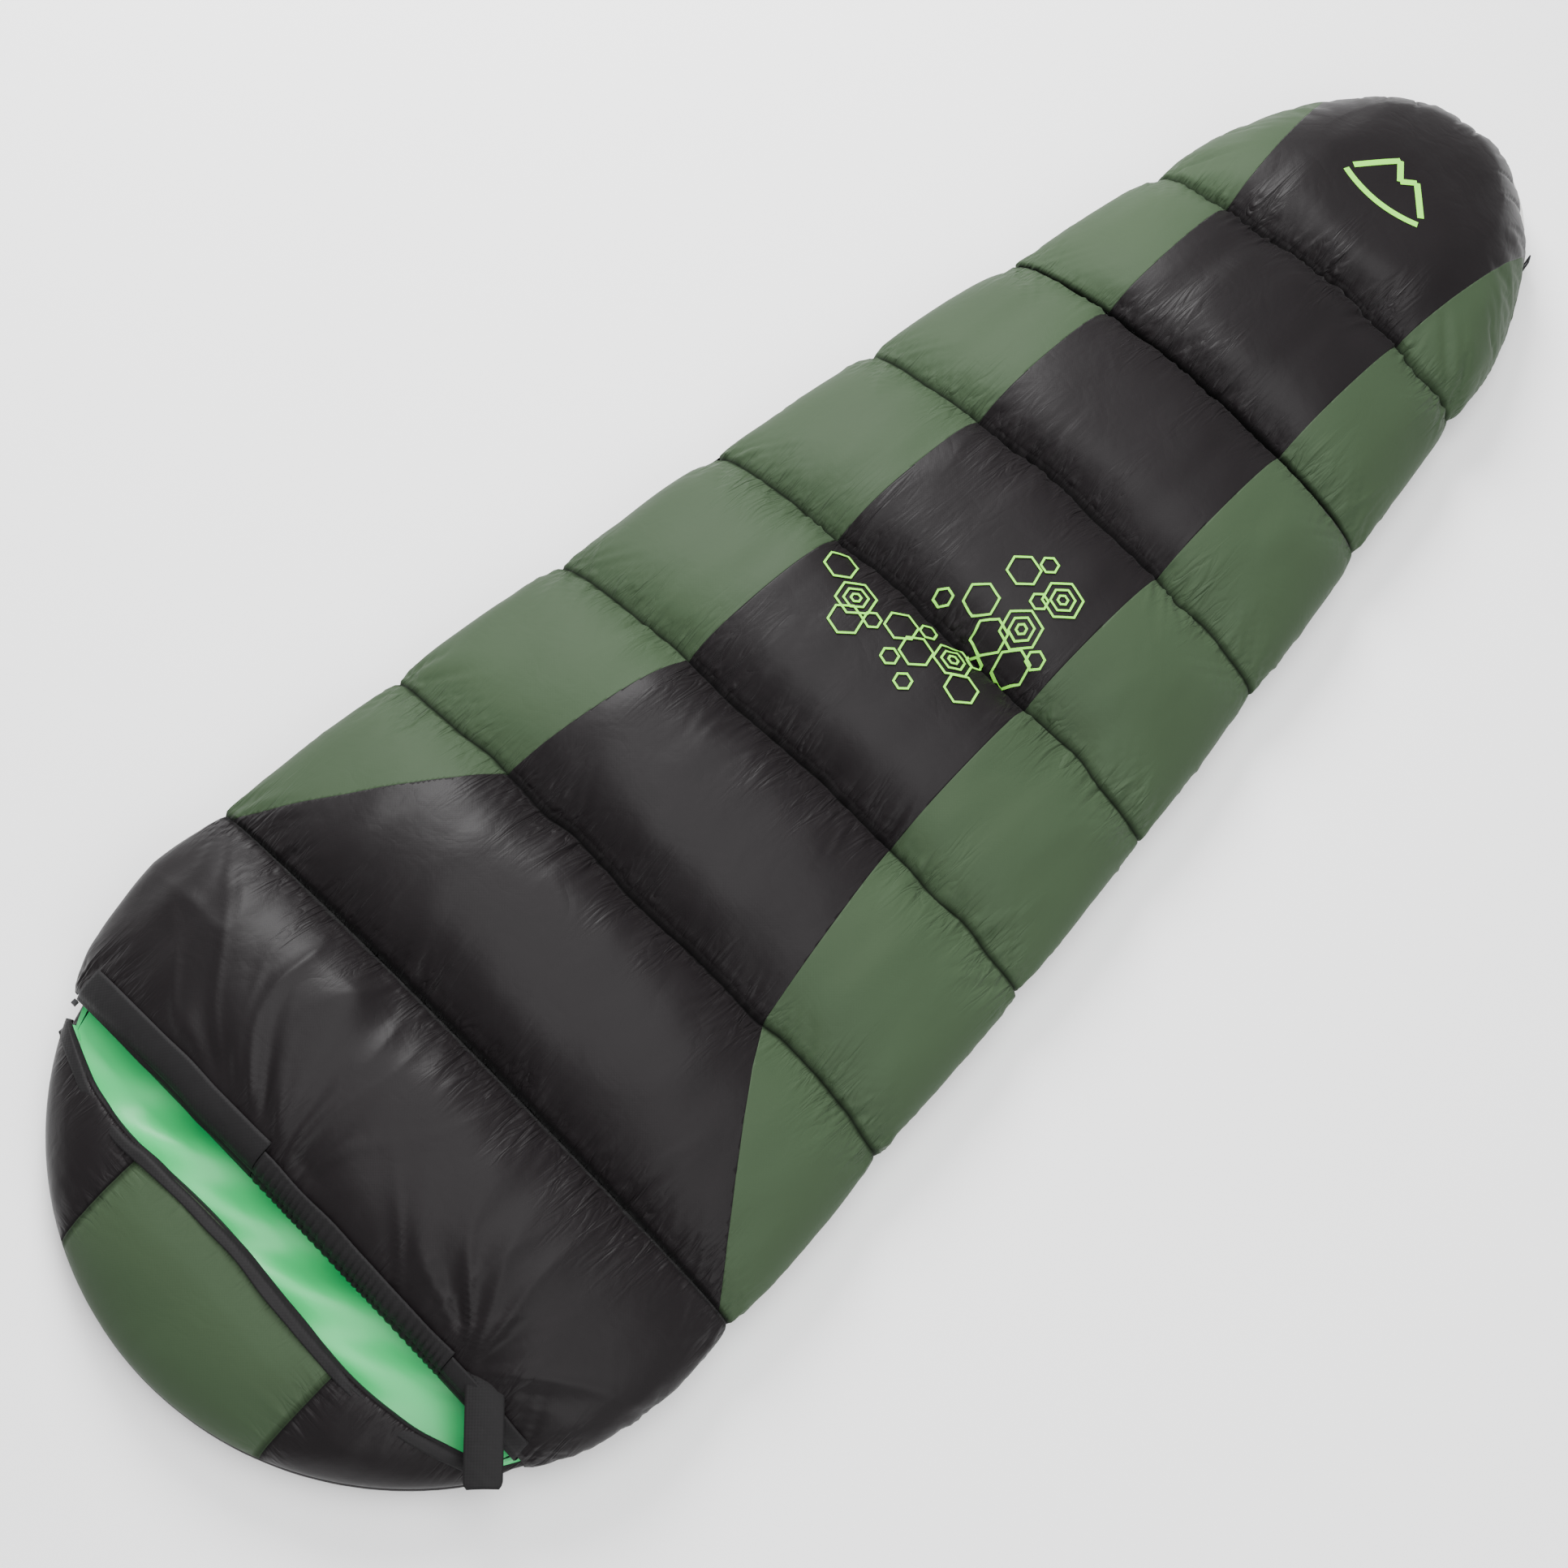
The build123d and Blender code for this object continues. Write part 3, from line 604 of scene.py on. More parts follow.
def cloth_material(name, colour, roughness, crumple=0.10, weave=0.05, threads=2600.0, sheen=0.02,
                   dark_seams=True, crumple_scale=16.0, specular=0.125):
    """Woven cloth: threads, fine crumples, broad patches of painted sheen in the colour and darker
    stitched lines.
    """
    found = bpy.data.materials.get(name)
    if found:
        return found
    material = bpy.data.materials.new(name)
    material.use_nodes = True
    tree = material.node_tree
    shader = tree.nodes["Principled BSDF"]
    shader.inputs["Sheen Weight"].default_value = sheen
    shader.inputs["Sheen Roughness"].default_value = 0.4
    shader.inputs["Specular IOR Level"].default_value = specular
    place = tree.nodes.new("ShaderNodeTexCoord")
    threads_node = tree.nodes.new("ShaderNodeGroup")
    threads_node.node_tree = weave_group()
    threads_node.inputs["Threads"].default_value = threads
    tree.links.new(place.outputs["Object"], threads_node.inputs["Vector"])
    crumple_and_sheen = tree.nodes.new("ShaderNodeGroup")
    crumple_and_sheen.node_tree = crumple_and_sheen_group()
    crumple_and_sheen.inputs["Scale"].default_value = crumple_scale
    tree.links.new(place.outputs["Object"], crumple_and_sheen.inputs["Vector"])

    # Painted sheen: the base colour runs from 0.82 to 1.20 of itself across broad patches.
    tint = tree.nodes.new("ShaderNodeMix")
    tint.data_type = "RGBA"
    tint.inputs["A"].default_value = [0.82 * c for c in colour[:3]] + [1]
    tint.inputs["B"].default_value = [min(1.0, 1.20 * c) for c in colour[:3]] + [1]
    tree.links.new(crumple_and_sheen.outputs["Painted sheen"], tint.inputs["Factor"])
    result = tint.outputs["Result"]
    if dark_seams:
        seam = tree.nodes.new("ShaderNodeAttribute")
        seam.attribute_name = "seam"
        stitch = tree.nodes.new("ShaderNodeMix")
        stitch.data_type = "RGBA"
        stitch.inputs["B"].default_value = [0.12 * c for c in colour[:3]] + [1]
        tree.links.new(seam.outputs["Fac"], stitch.inputs["Factor"])
        tree.links.new(result, stitch.inputs["A"])
        result = stitch.outputs["Result"]
    tree.links.new(result, shader.inputs["Base Color"])
    rough = maths(tree, "MULTIPLY_ADD", crumple_and_sheen.outputs["Painted sheen"], 0.16)
    rough.node.inputs[2].default_value = roughness - 0.08
    if dark_seams:
        rough = maths(tree, "ADD", rough, seam.outputs["Fac"], clamp=True)
    tree.links.new(rough, shader.inputs["Roughness"])
    fine = tree.nodes.new("ShaderNodeBump")
    fine.inputs["Strength"].default_value = weave
    fine.inputs["Distance"].default_value = 0.0006
    tree.links.new(threads_node.outputs["Height"], fine.inputs["Height"])
    coarse = tree.nodes.new("ShaderNodeBump")
    coarse.inputs["Strength"].default_value = crumple
    coarse.inputs["Distance"].default_value = 0.012
    tree.links.new(crumple_and_sheen.outputs["Height"], coarse.inputs["Height"])
    tree.links.new(fine.outputs["Normal"], coarse.inputs["Normal"])
    normal = coarse.outputs["Normal"]
    if dark_seams:
        gathered = tree.nodes.new("ShaderNodeGroup")
        gathered.node_tree = pucker_group()
        tree.links.new(place.outputs["Object"], gathered.inputs["Vector"])
        for label, attribute in (("Cross", "pull"), ("Side", "side_pull")):
            mask = tree.nodes.new("ShaderNodeAttribute")
            mask.attribute_name = attribute
            tree.links.new(mask.outputs["Fac"], gathered.inputs[label])
        drawn = tree.nodes.new("ShaderNodeBump")
        drawn.inputs["Strength"].default_value = 1.0
        drawn.inputs["Distance"].default_value = 0.0045
        tree.links.new(gathered.outputs["Height"], drawn.inputs["Height"])
        tree.links.new(normal, drawn.inputs["Normal"])
        normal = drawn.outputs["Normal"]
    tree.links.new(normal, shader.inputs["Normal"])
    return material


def dark_cloth():
    return cloth_material("dark nylon", colours().dark, 0.46)


def green_cloth():
    return cloth_material("green nylon", colours().green, 0.62)


def lining_cloth():
    return cloth_material("lining", colours().lining, 0.6, crumple=0.12, sheen=0.0,
                          specular=0.05)


def trim_cloth():
    return cloth_material("dark trim", colours().trim, 0.62, crumple=0.2, weave=0.25,
                          threads=1500.0, dark_seams=False)


def filling_cloth():
    return cloth_material("fibre filling", (0.8, 0.8, 0.78, 1), 0.9, dark_seams=False)


def dress(piece, material):
    piece.data.materials.clear()
    piece.data.materials.append(material)


BLEND_TO = (0.0, 0.180, 0.0)


def follow_cover(piece):
    """For cloth that runs from the fixed foot into the cover: bake its placement into its mesh."""
    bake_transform(piece)


# ---- top quilt ----------------------------------------------------------------------------
def middle_edge(y):
    """Half width of the dark middle panel at y, before the chest."""
    lines = seam_lines()
    known = [lines[1], lines[2], lines[3], lines[5], lines[6], TOE_Y - TOE_FLARE, TOE_Y + 0.05]
    widths = [0.195, 0.156, 0.147, 0.139, 0.139, 0.172, 0.195]
    return np.interp(y, known, widths)


def flare_edge(y):
    """Half width of the dark panel where it flares out to the side seams."""
    lines = seam_lines()
    share = np.clip((lines[1] - np.asarray(y, float)) / (lines[1] - lines[0]), 0, 1)
    stops = np.linspace(0, 1, 6)
    return 0.195 + (0.37 - 0.195) * np.interp(share, stops, stops ** 1.15)


def panel_number(centres):
    """Which panel each face is in: 0 chest, 1 middle, 2 left, 3 right, then the same for the foot."""
    lines = seam_lines()
    x, y = centres[:, 0], centres[:, 1]
    edge = np.where(y < lines[1], flare_edge(y), middle_edge(y))
    number = np.where(np.abs(x) < edge, 1, np.where(x < 0, 2, 3))
    number = np.where(y < lines[0], 0, number)
    return np.where((y > lines[5]) & (number > 0), number + 3, number)


def cut_along(piece, y_low, y_high, start, end):
    """Cut the faces between two values of y by an upright plane through two plan points."""
    bm = bmesh.new()
    bm.from_mesh(piece.data)
    faces = [f for f in bm.faces if y_low - 0.004 < f.calc_center_median().y < y_high + 0.004]
    edges = {e for f in faces for e in f.edges}
    verts = {v for f in faces for v in f.verts}
    run = Vector(end) - Vector(start)
    bmesh.ops.bisect_plane(
        bm, geom=list(verts) + list(edges) + faces, dist=1e-5,
        plane_co=(start[0], start[1], 0), plane_no=(run.y, -run.x, 0),
        use_snap_center=False, clear_outer=False, clear_inner=False)
    bm.to_mesh(piece.data)
    bm.free()


class BAG_OT_top_quilt(bpy.types.Operator):
    """Make the top quilt: blow up its sewn chambers, then cut it into its cloth panels"""

    bl_idname = "bag.top_quilt"
    bl_label = "Top quilt"

    def execute(self, context):
        s = sizes()

        def grid_rows(cell):
            body = int(round((s.first_seam - HEM_Y) / cell))
            return body, int(round((TOE_Y - s.first_seam) / cell / 1.05))

        def place(u, v, split, loft_share=1.0):
            across = 2 * u - 1
            y = HEM_Y + (s.first_seam - HEM_Y) * np.clip(v / split, 0, 1)
            body = top_surface(across, y, loft_share)
            foot = foot_surface(across, np.clip((v - split) / (1 - split), 0, 1), loft_share)
            return np.where((v < split)[:, None], body, foot)

        body_rows, foot_rows = grid_rows(s.cell)
        rows = body_rows + foot_rows
        split = body_rows / rows
        quilt = woven_grid("top_quilt", s.columns, rows, lambda u, v: place(u, v, split))
        flat = woven_parameters(s.columns, rows)
        u, v = flat[:, 0], flat[:, 1]
        points = points_of(quilt)
        points = points + blown_shift(u, v, grid_rows(s.cell * 1.5), s.columns // 3, place)
        put_points(quilt, points)
        mark_seams(quilt)
        from_side = np.minimum((1 - np.abs(2 * u - 1)) * 0.52, (1 - v) * rows * s.cell)
        float_attribute(quilt, "side_pull", np.exp(-((from_side / 0.022) ** 1.5)))
        points = points + gathers(quilt, u, v, split)
        ceiling = max(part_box(node)[1].z for node in ("cover_chest_panel", "cover_center_panel"))
        above = np.clip(points[:, 2] - ceiling + 0.004, 0, None)
        points[:, 2] += 0.010 * np.tanh(above / 0.010) - above
        put_points(quilt, points)
        cloth_uv(quilt, points[:, :2])
        cut_panels(quilt)
        names = ["chest_panel", "center_panel", "left_panel", "right_panel",
                 "foot_center", "foot_left", "foot_right"]
        parts = split_by(quilt, names, panel_number)
        stands_for = {
            "chest_panel": "cover_chest_panel", "center_panel": "cover_center_panel",
            "left_panel": "cover_left_panel", "right_panel": "cover_right_panel",
            "foot_center": "foot_center_panel", "foot_left": "foot_left_panel",
            "foot_right": "foot_right_panel",
        }
        dark = ("chest_panel", "center_panel", "foot_center")
        for name, part in parts.items():
            if name in dark:
                dress(part, dark_cloth())
            else:
                dress(part, green_cloth())
            thicken(part)
            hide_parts(stands_for[name])
            follow_cover(part)
        return {"FINISHED"}


def blown_shift(u, v, grid_rows, columns, place):
    """How far a cloth simulation of a coarser quilt moves each point of the fine one."""
    body_rows, foot_rows = grid_rows
    rows = body_rows + foot_rows
    split = body_rows / rows
    coarse = woven_grid("coarse_quilt", columns, rows, lambda a, b: place(a, b, split))
    flat = woven_parameters(columns, rows)
    start = points_of(coarse)
    cut = cut_pattern(flat[:, 0], flat[:, 1], split)
    pins = sewn_points(flat[:, 0], flat[:, 1], split, body_rows)
    blown = inflate(coarse, pins, cut, pressure=25.0)
    bpy.data.objects.remove(coarse)
    shift = capped(start, blown, 0.016) - start
    order = np.lexsort((np.round(flat[:, 0] * columns), np.round(flat[:, 1] * rows)))
    table = shift[order].reshape(rows + 1, columns + 1, 3)
    a, b = u * columns, v * rows
    low_a = np.clip(np.floor(a).astype(int), 0, columns - 1)
    low_b = np.clip(np.floor(b).astype(int), 0, rows - 1)
    share_a, share_b = (a - low_a)[:, None], (b - low_b)[:, None]
    near = table[low_b, low_a] * (1 - share_a) + table[low_b, low_a + 1] * share_a
    far = table[low_b + 1, low_a] * (1 - share_a) + table[low_b + 1, low_a + 1] * share_a
    return near * (1 - share_b) + far * share_b


def normals_of(piece):
    normals = np.empty(len(piece.data.vertices) * 3, np.float32)
    piece.data.vertices.foreach_get("normal", normals)
    return normals.reshape(-1, 3).astype(float)


def gathers(quilt, u, v, split):
    """Puckers beside every seam, soft waves in the chambers and the long folds of the chest."""
    s = sizes()
    points = points_of(quilt)
    x, y = points[:, 0], points[:, 1]
    normals = normals_of(quilt)
    lines = np.array([HEM_Y] + seam_lines())
    away = np.abs(y[:, None] - lines[None, :])
    nearest = np.argmin(away, axis=1)
    number = nearest * 2 + (y > lines[nearest])
    across = away[np.arange(len(y)), nearest]
    height = s.gather * puckers(x, across, number)
    edge = (1 - np.abs(2 * u - 1)) * 0.52
    rim = np.clip((v - split) / (1 - split), 0, 1)
    edge = np.where(v > split, np.minimum(edge, (1 - rim) * 0.42), edge)
    round_edge = np.where(v > split, y + np.abs(x), y)
    height += 0.8 * s.gather * puckers(round_edge, edge, 40 + (x > 0), 0.016, 21)
    sewn = np.clip(across / 0.03, 0, 1) * np.clip(edge / 0.03, 0, 1)
    soft = value_noise(x / 0.075 + 30, y / 0.14, 31) - 0.5
    soft += 0.5 * (value_noise(x / 0.03 + 9, y / 0.08, 32) - 0.5)
    height += 0.0060 * soft * sewn
    height += chest_folds(x, y) * np.clip(edge / 0.02, 0, 1)
    under_collar = np.where(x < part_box("collar_band")[1].x + 0.01, 0.034, 0.016)
    height *= np.clip((y - HEM_Y - under_collar) / 0.02, 0, 1) * (y < s.first_seam) + (y >= s.first_seam)
    shift = normals * height[:, None]
    straight = (nearest == 1) | (nearest == 6) | (nearest == 0)
    shift[:, 1] += np.where(straight, 0.0, 0.011 * (value_noise(x / 0.045, nearest * 3.1, 33) - 0.5)
                            * np.exp(-((across / 0.03) ** 2)))
    return shift


def chest_folds(x, y):
    """Long folds that fan out from the hem, where the collar and the neck tab pull on the cloth."""
    line = seam_lines()[0]
    in_chest = np.clip((line - y) / 0.05, 0, 1) * np.clip((y - HEM_Y) / 0.012, 0, 1)
    total = np.zeros_like(x)
    for px, py, first, last, count, length, high, seed in (
        (0.005, -1.010, 84, 172, 8.5, 0.36, 0.0170, 51),
        (0.235, -0.925, 15, 165, 7.0, 0.15, 0.0100, 61),
        (-0.020, -1.000, 60, 172, 19.0, 0.30, 0.0055, 81),
        (0.180, -0.960, 20, 165, 13.0, 0.18, 0.0045, 85),
    ):
        dx, dy = x - px, y - py
        distance = np.hypot(dx, dy)
        turn = np.degrees(np.arctan2(dy, dx))
        turn = turn + 16 * (value_noise(distance / 0.11, turn / 40, seed) - 0.5)
        share = (turn - first) / (last - first)
        inside = np.clip(share / 0.12, 0, 1) * np.clip((1 - share) / 0.12, 0, 1)
        fold = ridges(share * count, distance / 0.5, seed + 1) ** 1.4 - 0.45
        fade = np.clip(distance / 0.05, 0, 1) * np.exp(-((distance / length) ** 3))
        total += high * fold * inside * fade
    return total * in_chest


def woven_parameters(columns, rows):
    """u and v of each point of a grid, in the grid's own order."""
    bm = bmesh.new()
    bmesh.ops.create_grid(bm, x_segments=columns, y_segments=rows, size=0.5)
    flat = np.array([v.co[:2] for v in bm.verts]) + 0.5
    bm.free()
    return flat


def seam_mask(points):
    """1 on a cross seam, falling to 0 a few millimetres away."""
    near = np.min([np.abs(points[:, 1] - line) for line in seam_lines()], axis=0)
    return np.clip(1.3 - near / SEAM_WIDTH, 0, 1)


def pull_mask(points):
    """How strongly the cloth is gathered near a cross seam, from 0 to 1."""
    lines = np.array([HEM_Y] + seam_lines())
    away = np.abs(points[:, 1][:, None] - lines[None, :])
    number = np.argmin(away, axis=1)
    near = away[np.arange(len(points)), number]
    side = number * 2.3 + (points[:, 1] > lines[number])
    reach = 0.008 + 0.040 * value_noise(points[:, 0] / 0.035, side, 71) ** 1.5
    return np.exp(-((near / reach) ** 1.3)) * np.clip(near / 0.003, 0.3, 1)


def mark_seams(piece):
    """Store where a piece's cloth is stitched and gathered, for its material."""
    points = points_of(piece)
    float_attribute(piece, "seam", seam_mask(points))
    float_attribute(piece, "pull", pull_mask(points))


def cut_pattern(u, v, split):
    """The quilt's cloth laid flat, as it was cut: longer and wider than where it is sewn down."""
    s = sizes()
    y = HEM_Y + (s.first_seam - HEM_Y) * np.clip(v / split, 0, 1)
    middle = half_width(y) * 1.15 + 0.045
    t = np.clip((v - split) / (1 - split), 0, 1)
    x = (2 * u - 1) * middle
    along = y * 1.075
    a = s.foot_half_width * 1.15 + 0.045
    b = (TOE_Y - s.first_seam) * 1.16
    w = 2 * u - 1
    foot_x = a * w * np.sqrt(1 - t * t / 2)
    foot_y = s.first_seam * 1.075 + b * t * np.sqrt(1 - w * w / 2)
    x = np.where(v < split, x, foot_x)
    along = np.where(v < split, along, foot_y)
    return np.stack([x, along, np.zeros_like(x)], axis=-1)


def sewn_points(u, v, split, body_rows):
    """1 for each point that is sewn down: the cross seams, the side seams and the hem."""
    s = sizes()
    y = HEM_Y + (s.first_seam - HEM_Y) * np.clip(v / split, 0, 1)
    near = np.min([np.abs(y - line) for line in seam_lines()], axis=0)
    half_row = (s.first_seam - HEM_Y) / body_rows * 0.51
    sewn = (near < half_row) & (v < split + 1e-6)
    sewn |= (v < 1e-6) | (v > 1 - 1e-6)
    sewn |= (u < 0.02) | (u > 0.98)
    return sewn.astype(float)


def cut_panels(quilt):
    """Cut the quilt's mesh along the lines between its panels."""
    lines = seam_lines()
    for y in (lines[0], lines[5]):
        cut_along(quilt, y - 0.02, y + 0.02, (-1, y), (1, y))
    stops = [lines[0] + (lines[1] - lines[0]) * k / 5 for k in range(6)]
    stops += list(lines[2:]) + [TOE_Y - TOE_FLARE, TOE_Y]
    for low, high in zip(stops, stops[1:]):
        edge = flare_edge if high <= lines[1] + 1e-6 else middle_edge
        for side in (-1, 1):
            cut_along(quilt, low, high, (side * float(edge(low)), low),
                      (side * float(edge(high)), high))


# ---- fillings and linings ------------------------------------------------------------------
def stuffing(name, columns, rows, outside, inside, spread=0.86):
    """A closed pad that fills the middle half of the space between two layers of cloth."""
    def place(u, v):
        across = np.where(u < 0.5, 2 * u, 2 - 2 * u)
        w = (2 * across - 1) * spread
        full = np.sqrt(np.clip(4 * across * (1 - across), 0, 1))
        share = 0.5 + np.where(u < 0.5, FILL_SHARE, -FILL_SHARE) * full
        inner = inside(w, v)
        return inner + (outside(w, v) - inner) * share[:, None]

    pad = woven_grid(name, columns, rows, place)
    mend(pad, weld=WELD / 10, cap=True, outward=True)
    shade_smooth(pad)
    return pad


class BAG_OT_quilt_insides(bpy.types.Operator):
    """Make the filling and the lining of the cover and of the foot part"""

    bl_idname = "bag.quilt_insides"
    bl_label = "Filling and lining"

    def execute(self, context):
        s = sizes()
        lines = seam_lines()
        fold_end = lines[5]

        def cover_shell(w, v):
            return top_surface(w, HEM_Y + 0.006 + (fold_end - HEM_Y - 0.006) * v, 0.0)

        def cover_inside(w, v):
            return lining_surface(w, HEM_Y + 0.006 + (fold_end - HEM_Y - 0.006) * v)

        def foot_shell(w, v):
            return foot_surface(w * 0.92, v * 0.92, 0.0)

        def foot_inside(w, v):
            return foot_lining_surface(w * 0.92, v * 0.92)

        covers = [f"cover_fill_{k}" for k in range(1, 7)]
        feet = ["foot_fill_1", "foot_fill_2"]
        for name, shell, inside, rows, nodes in (
            ("cover_filling", cover_shell, cover_inside, 108, covers),
            ("foot_filling", foot_shell, foot_inside, 30, feet),
        ):
            pad = stuffing(name, 48, rows, shell, inside)
            dress(pad, filling_cloth())
            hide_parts(*nodes)
            follow_cover(pad)

        def cover_lining(u, v):
            return lining_surface(2 * u - 1, HEM_Y + 0.002 + (s.first_seam - HEM_Y - 0.002) * v)

        def foot_lining(u, v):
            return foot_lining_surface(2 * u - 1, v)

        for name, place, rows, node in (
            ("cover_lining_cloth", cover_lining, 230, "cover_lining"),
            ("foot_lining_cloth", foot_lining, 50, "foot_lining"),
        ):
            sheet = woven_grid(name, 84, rows, place)
            mark_seams(sheet)
            shade_smooth(sheet)
            thicken(sheet)
            dress(sheet, lining_cloth())
            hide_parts(node)
            follow_cover(sheet)

        def gusset(u, v):
            y = HEM_Y + 0.004 + (BLEND_TO[1] - HEM_Y) * v
            return np.stack([half_width(y) - 0.010, y, s.side_seam_height - 0.005 + 0.010 * u],
                            axis=-1)

        strip = woven_grid("side_gusset", 8, 160, gusset)
        shade_smooth(strip)
        thicken(strip, 0.0008)
        dress(strip, lining_cloth())
        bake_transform(strip)

        def flap(u, v):
            y = BLEND_TO[1] - 0.03 + 0.34 * v
            return np.stack([half_width(y) - 0.013, y, s.side_seam_height - 0.024 + 0.026 * u],
                            axis=-1)

        strip = woven_grid("foot_gusset", 8, 80, flap)
        shade_smooth(strip)
        thicken(strip, 0.0008)
        dress(strip, lining_cloth())
        follow_cover(strip)
        return {"FINISHED"}


def lining_surface(w, y):
    """Points of the cover's lining: from lip to lip under the filling."""
    s = sizes()
    side = np.sign(w)
    angle = section_angles(np.abs(w), *HALF_LINING)
    puff = chamber_puff(y)
    edge = half_width(y) - lip_inset(y, side) - 0.001
    lip_z = s.side_seam_height + np.where(side < 0, ZIP_LIP_RISE, LIP_RISE)
    inner = s.seam_height - s.quilt_thickness + 0.3 * s.loft * puff
    x = edge * np.sin(angle)
    z = lip_z + (inner - lip_z) * np.cos(angle) ** 0.9
    z += 0.0025 * np.sin(37 * x + 9 * np.sin(11 * y)) * puff * np.cos(angle)
    return np.stack([side * x, y, z], axis=-1)


def foot_lining_surface(w, t):
    """Points of the foot part's lining."""
    s = sizes()
    dx = w * np.sqrt(1 - t * t / 2)
    dy = t * np.sqrt(1 - w * w / 2)
    reach = np.sqrt(np.clip(dx * dx + dy * dy, 1e-12, None))
    cx, cy = dx / reach, dy / reach
    angle = section_angles(np.clip(reach, 0, 1), *HALF_LINING)
    depth = TOE_Y - s.first_seam - 0.011
    rise = s.seam_height - s.quilt_thickness - s.side_seam_height
    return np.stack([
        cx * (s.foot_half_width - 0.009) * np.sin(angle),
        s.first_seam + cy * depth * np.sin(angle),
        s.side_seam_height + 0.001 + rise * np.cos(angle) ** 0.9,
    ], axis=-1)


# ---- bottom quilt --------------------------------------------------------------------------
def disc_place(w, t):
    """Direction and share of the radius for a point of the square that maps to a half disc."""
    dx = w * np.sqrt(1 - t * t / 2)
    dy = t * np.sqrt(1 - w * w / 2)
    reach = np.sqrt(np.clip(dx * dx + dy * dy, 1e-12, None))
    return dx / reach, dy / reach, np.clip(reach, 0, 1)


def whole_plan(u, v, rows):
    """Plan place of a grid point over the whole bag: side share, y, and its middle line."""
    s = sizes()
    head, body, foot = rows
    total = head + body + foot
    row = v * total
    w = 2 * u - 1
    t_head = np.clip(1 - row / head, 0, 1)
    t_foot = np.clip((row - head - body) / foot, 0, 1)
    y_body = HEAD_CENTRE_Y + (s.first_seam - HEAD_CENTRE_Y) * np.clip((row - head) / body, 0, 1)
    t = np.where(row < head, t_head, t_foot)
    cx, cy, reach = disc_place(w, t)
    in_body = (row >= head) & (row <= head + body)
    cx = np.where(in_body, np.sign(w), cx)
    cy = np.where(in_body, 0, np.where(row < head, -cy, cy))
    reach = np.where(in_body, np.abs(w), reach)
    half = np.where(row < head, WIDEST, np.where(in_body, half_width(y_body), s.foot_half_width))
    depth = np.where(row < head, WIDEST, TOE_Y - s.first_seam)
    base_y = np.where(row < head, HEAD_CENTRE_Y, y_body)
    return cx, cy, reach, half, depth, base_y


def bottom_puff(y):
    """Like the top's chambers, and on under the hood."""
    return np.where(y < HEM_Y, smooth_step(HEM_Y - y, 0.0, 0.06), chamber_puff(y))


def bottom_surface(u, v, rows):
    """Points of the bottom quilt's outer cloth, from the floor round to its upper lip."""
    s = sizes()
    cx, cy, reach, half, depth, base_y = whole_plan(u, v, rows)
    turn = 0.90
    share = np.clip(reach / turn, 0, 1)
    f = 1 - (1 - share) ** 1.7
    under = np.clip((reach - turn) / (1 - turn), 0, 1)
    rough_y = base_y + cy * depth * f
    puff = bottom_puff(rough_y)
    widest = 0.024
    inset = 0.010 * (1 - puff) * np.abs(cx) + 0.002 + 0.012 * under ** 2
    x = cx * (half * f - inset * f)
    y = base_y + cy * (depth * f - inset * f)
    roll = 1 - (1 - np.clip(f, 0, 1) ** 7) ** (1 / 3)
    z = widest * roll + 0.0006 + 0.006 * (1 - puff) * (1 - f**6)
    z = z + under * (s.side_seam_height - 0.002 - widest)
    return np.stack([x, y, z], axis=-1)


def bottom_lining_surface(u, v, rows):
    """Points of the lining that the sleeper lies on."""
    s = sizes()
    cx, cy, reach, half, depth, base_y = whole_plan(u, v, rows)
    inset = 0.014
    x = cx * (half - inset) * reach
    y = base_y + cy * (depth - inset) * reach
    puff = bottom_puff(y)
    middle = np.sqrt(np.clip(1 - reach**4, 0, 1))
    face = np.exp(-((y - HEM_Y + 0.035) / 0.085) ** 2) * np.exp(-(x / 0.26) ** 4)
    z = s.side_seam_height - 0.003 + 0.012 * puff * middle + 0.030 * face * middle
    folds = 0.004 * np.sin(58 * x + 5 * np.sin(23 * y + 1.0)) + 0.003 * np.sin(31 * x - 44 * y)
    z += folds * face * middle
    return np.stack([x, y, z], axis=-1)


class BAG_OT_bottom_quilt(bpy.types.Operator):
    """Make the bottom quilt: outer cloth, filling and lining"""

    bl_idname = "bag.bottom_quilt"
    bl_label = "Bottom quilt"

    def execute(self, context):
        rows = (34, 200, 40)

        def outer(u, v):
            return bottom_surface(u, v, rows)

        def inner(u, v):
            return bottom_lining_surface(u, v, rows)

        def pad_outside(w, v):
            return bottom_surface(0.5 + w / 2, 0.05 + v * 0.90, rows)

        def pad_inside(w, v):
            return bottom_lining_surface(0.5 + w / 2, 0.05 + v * 0.90, rows)

        total = sum(rows)
        shell = woven_grid("bottom_shell_cloth", 90, total, outer)
        mend(shell, turn=True)
        mark_seams(shell)
        shade_smooth(shell)
        thicken(shell)
        dress(shell, dark_cloth())
        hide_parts("bottom_shell")
        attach(shell, "bag")

        lining = woven_grid("bottom_lining_cloth", 120, total, inner)
        mark_seams(lining)
        shade_smooth(lining)
        thicken(lining)
        dress(lining, lining_cloth())
        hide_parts("bottom_lining")
        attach(lining, "bag")

        filling = stuffing("bottom_filling", 48, total // 2, pad_outside, pad_inside)
        dress(filling, filling_cloth())
        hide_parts("bottom_insulation")
        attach(filling, "bag")
        return {"FINISHED"}


# ---- hood ----------------------------------------------------------------------------------
HOOD_CORNER = 0.205
HOOD_WING_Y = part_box("hood_left_panel")[1].y
HOOD_END_X = math.sqrt(WIDEST**2 - (HOOD_WING_Y - HEAD_CENTRE_Y) ** 2)


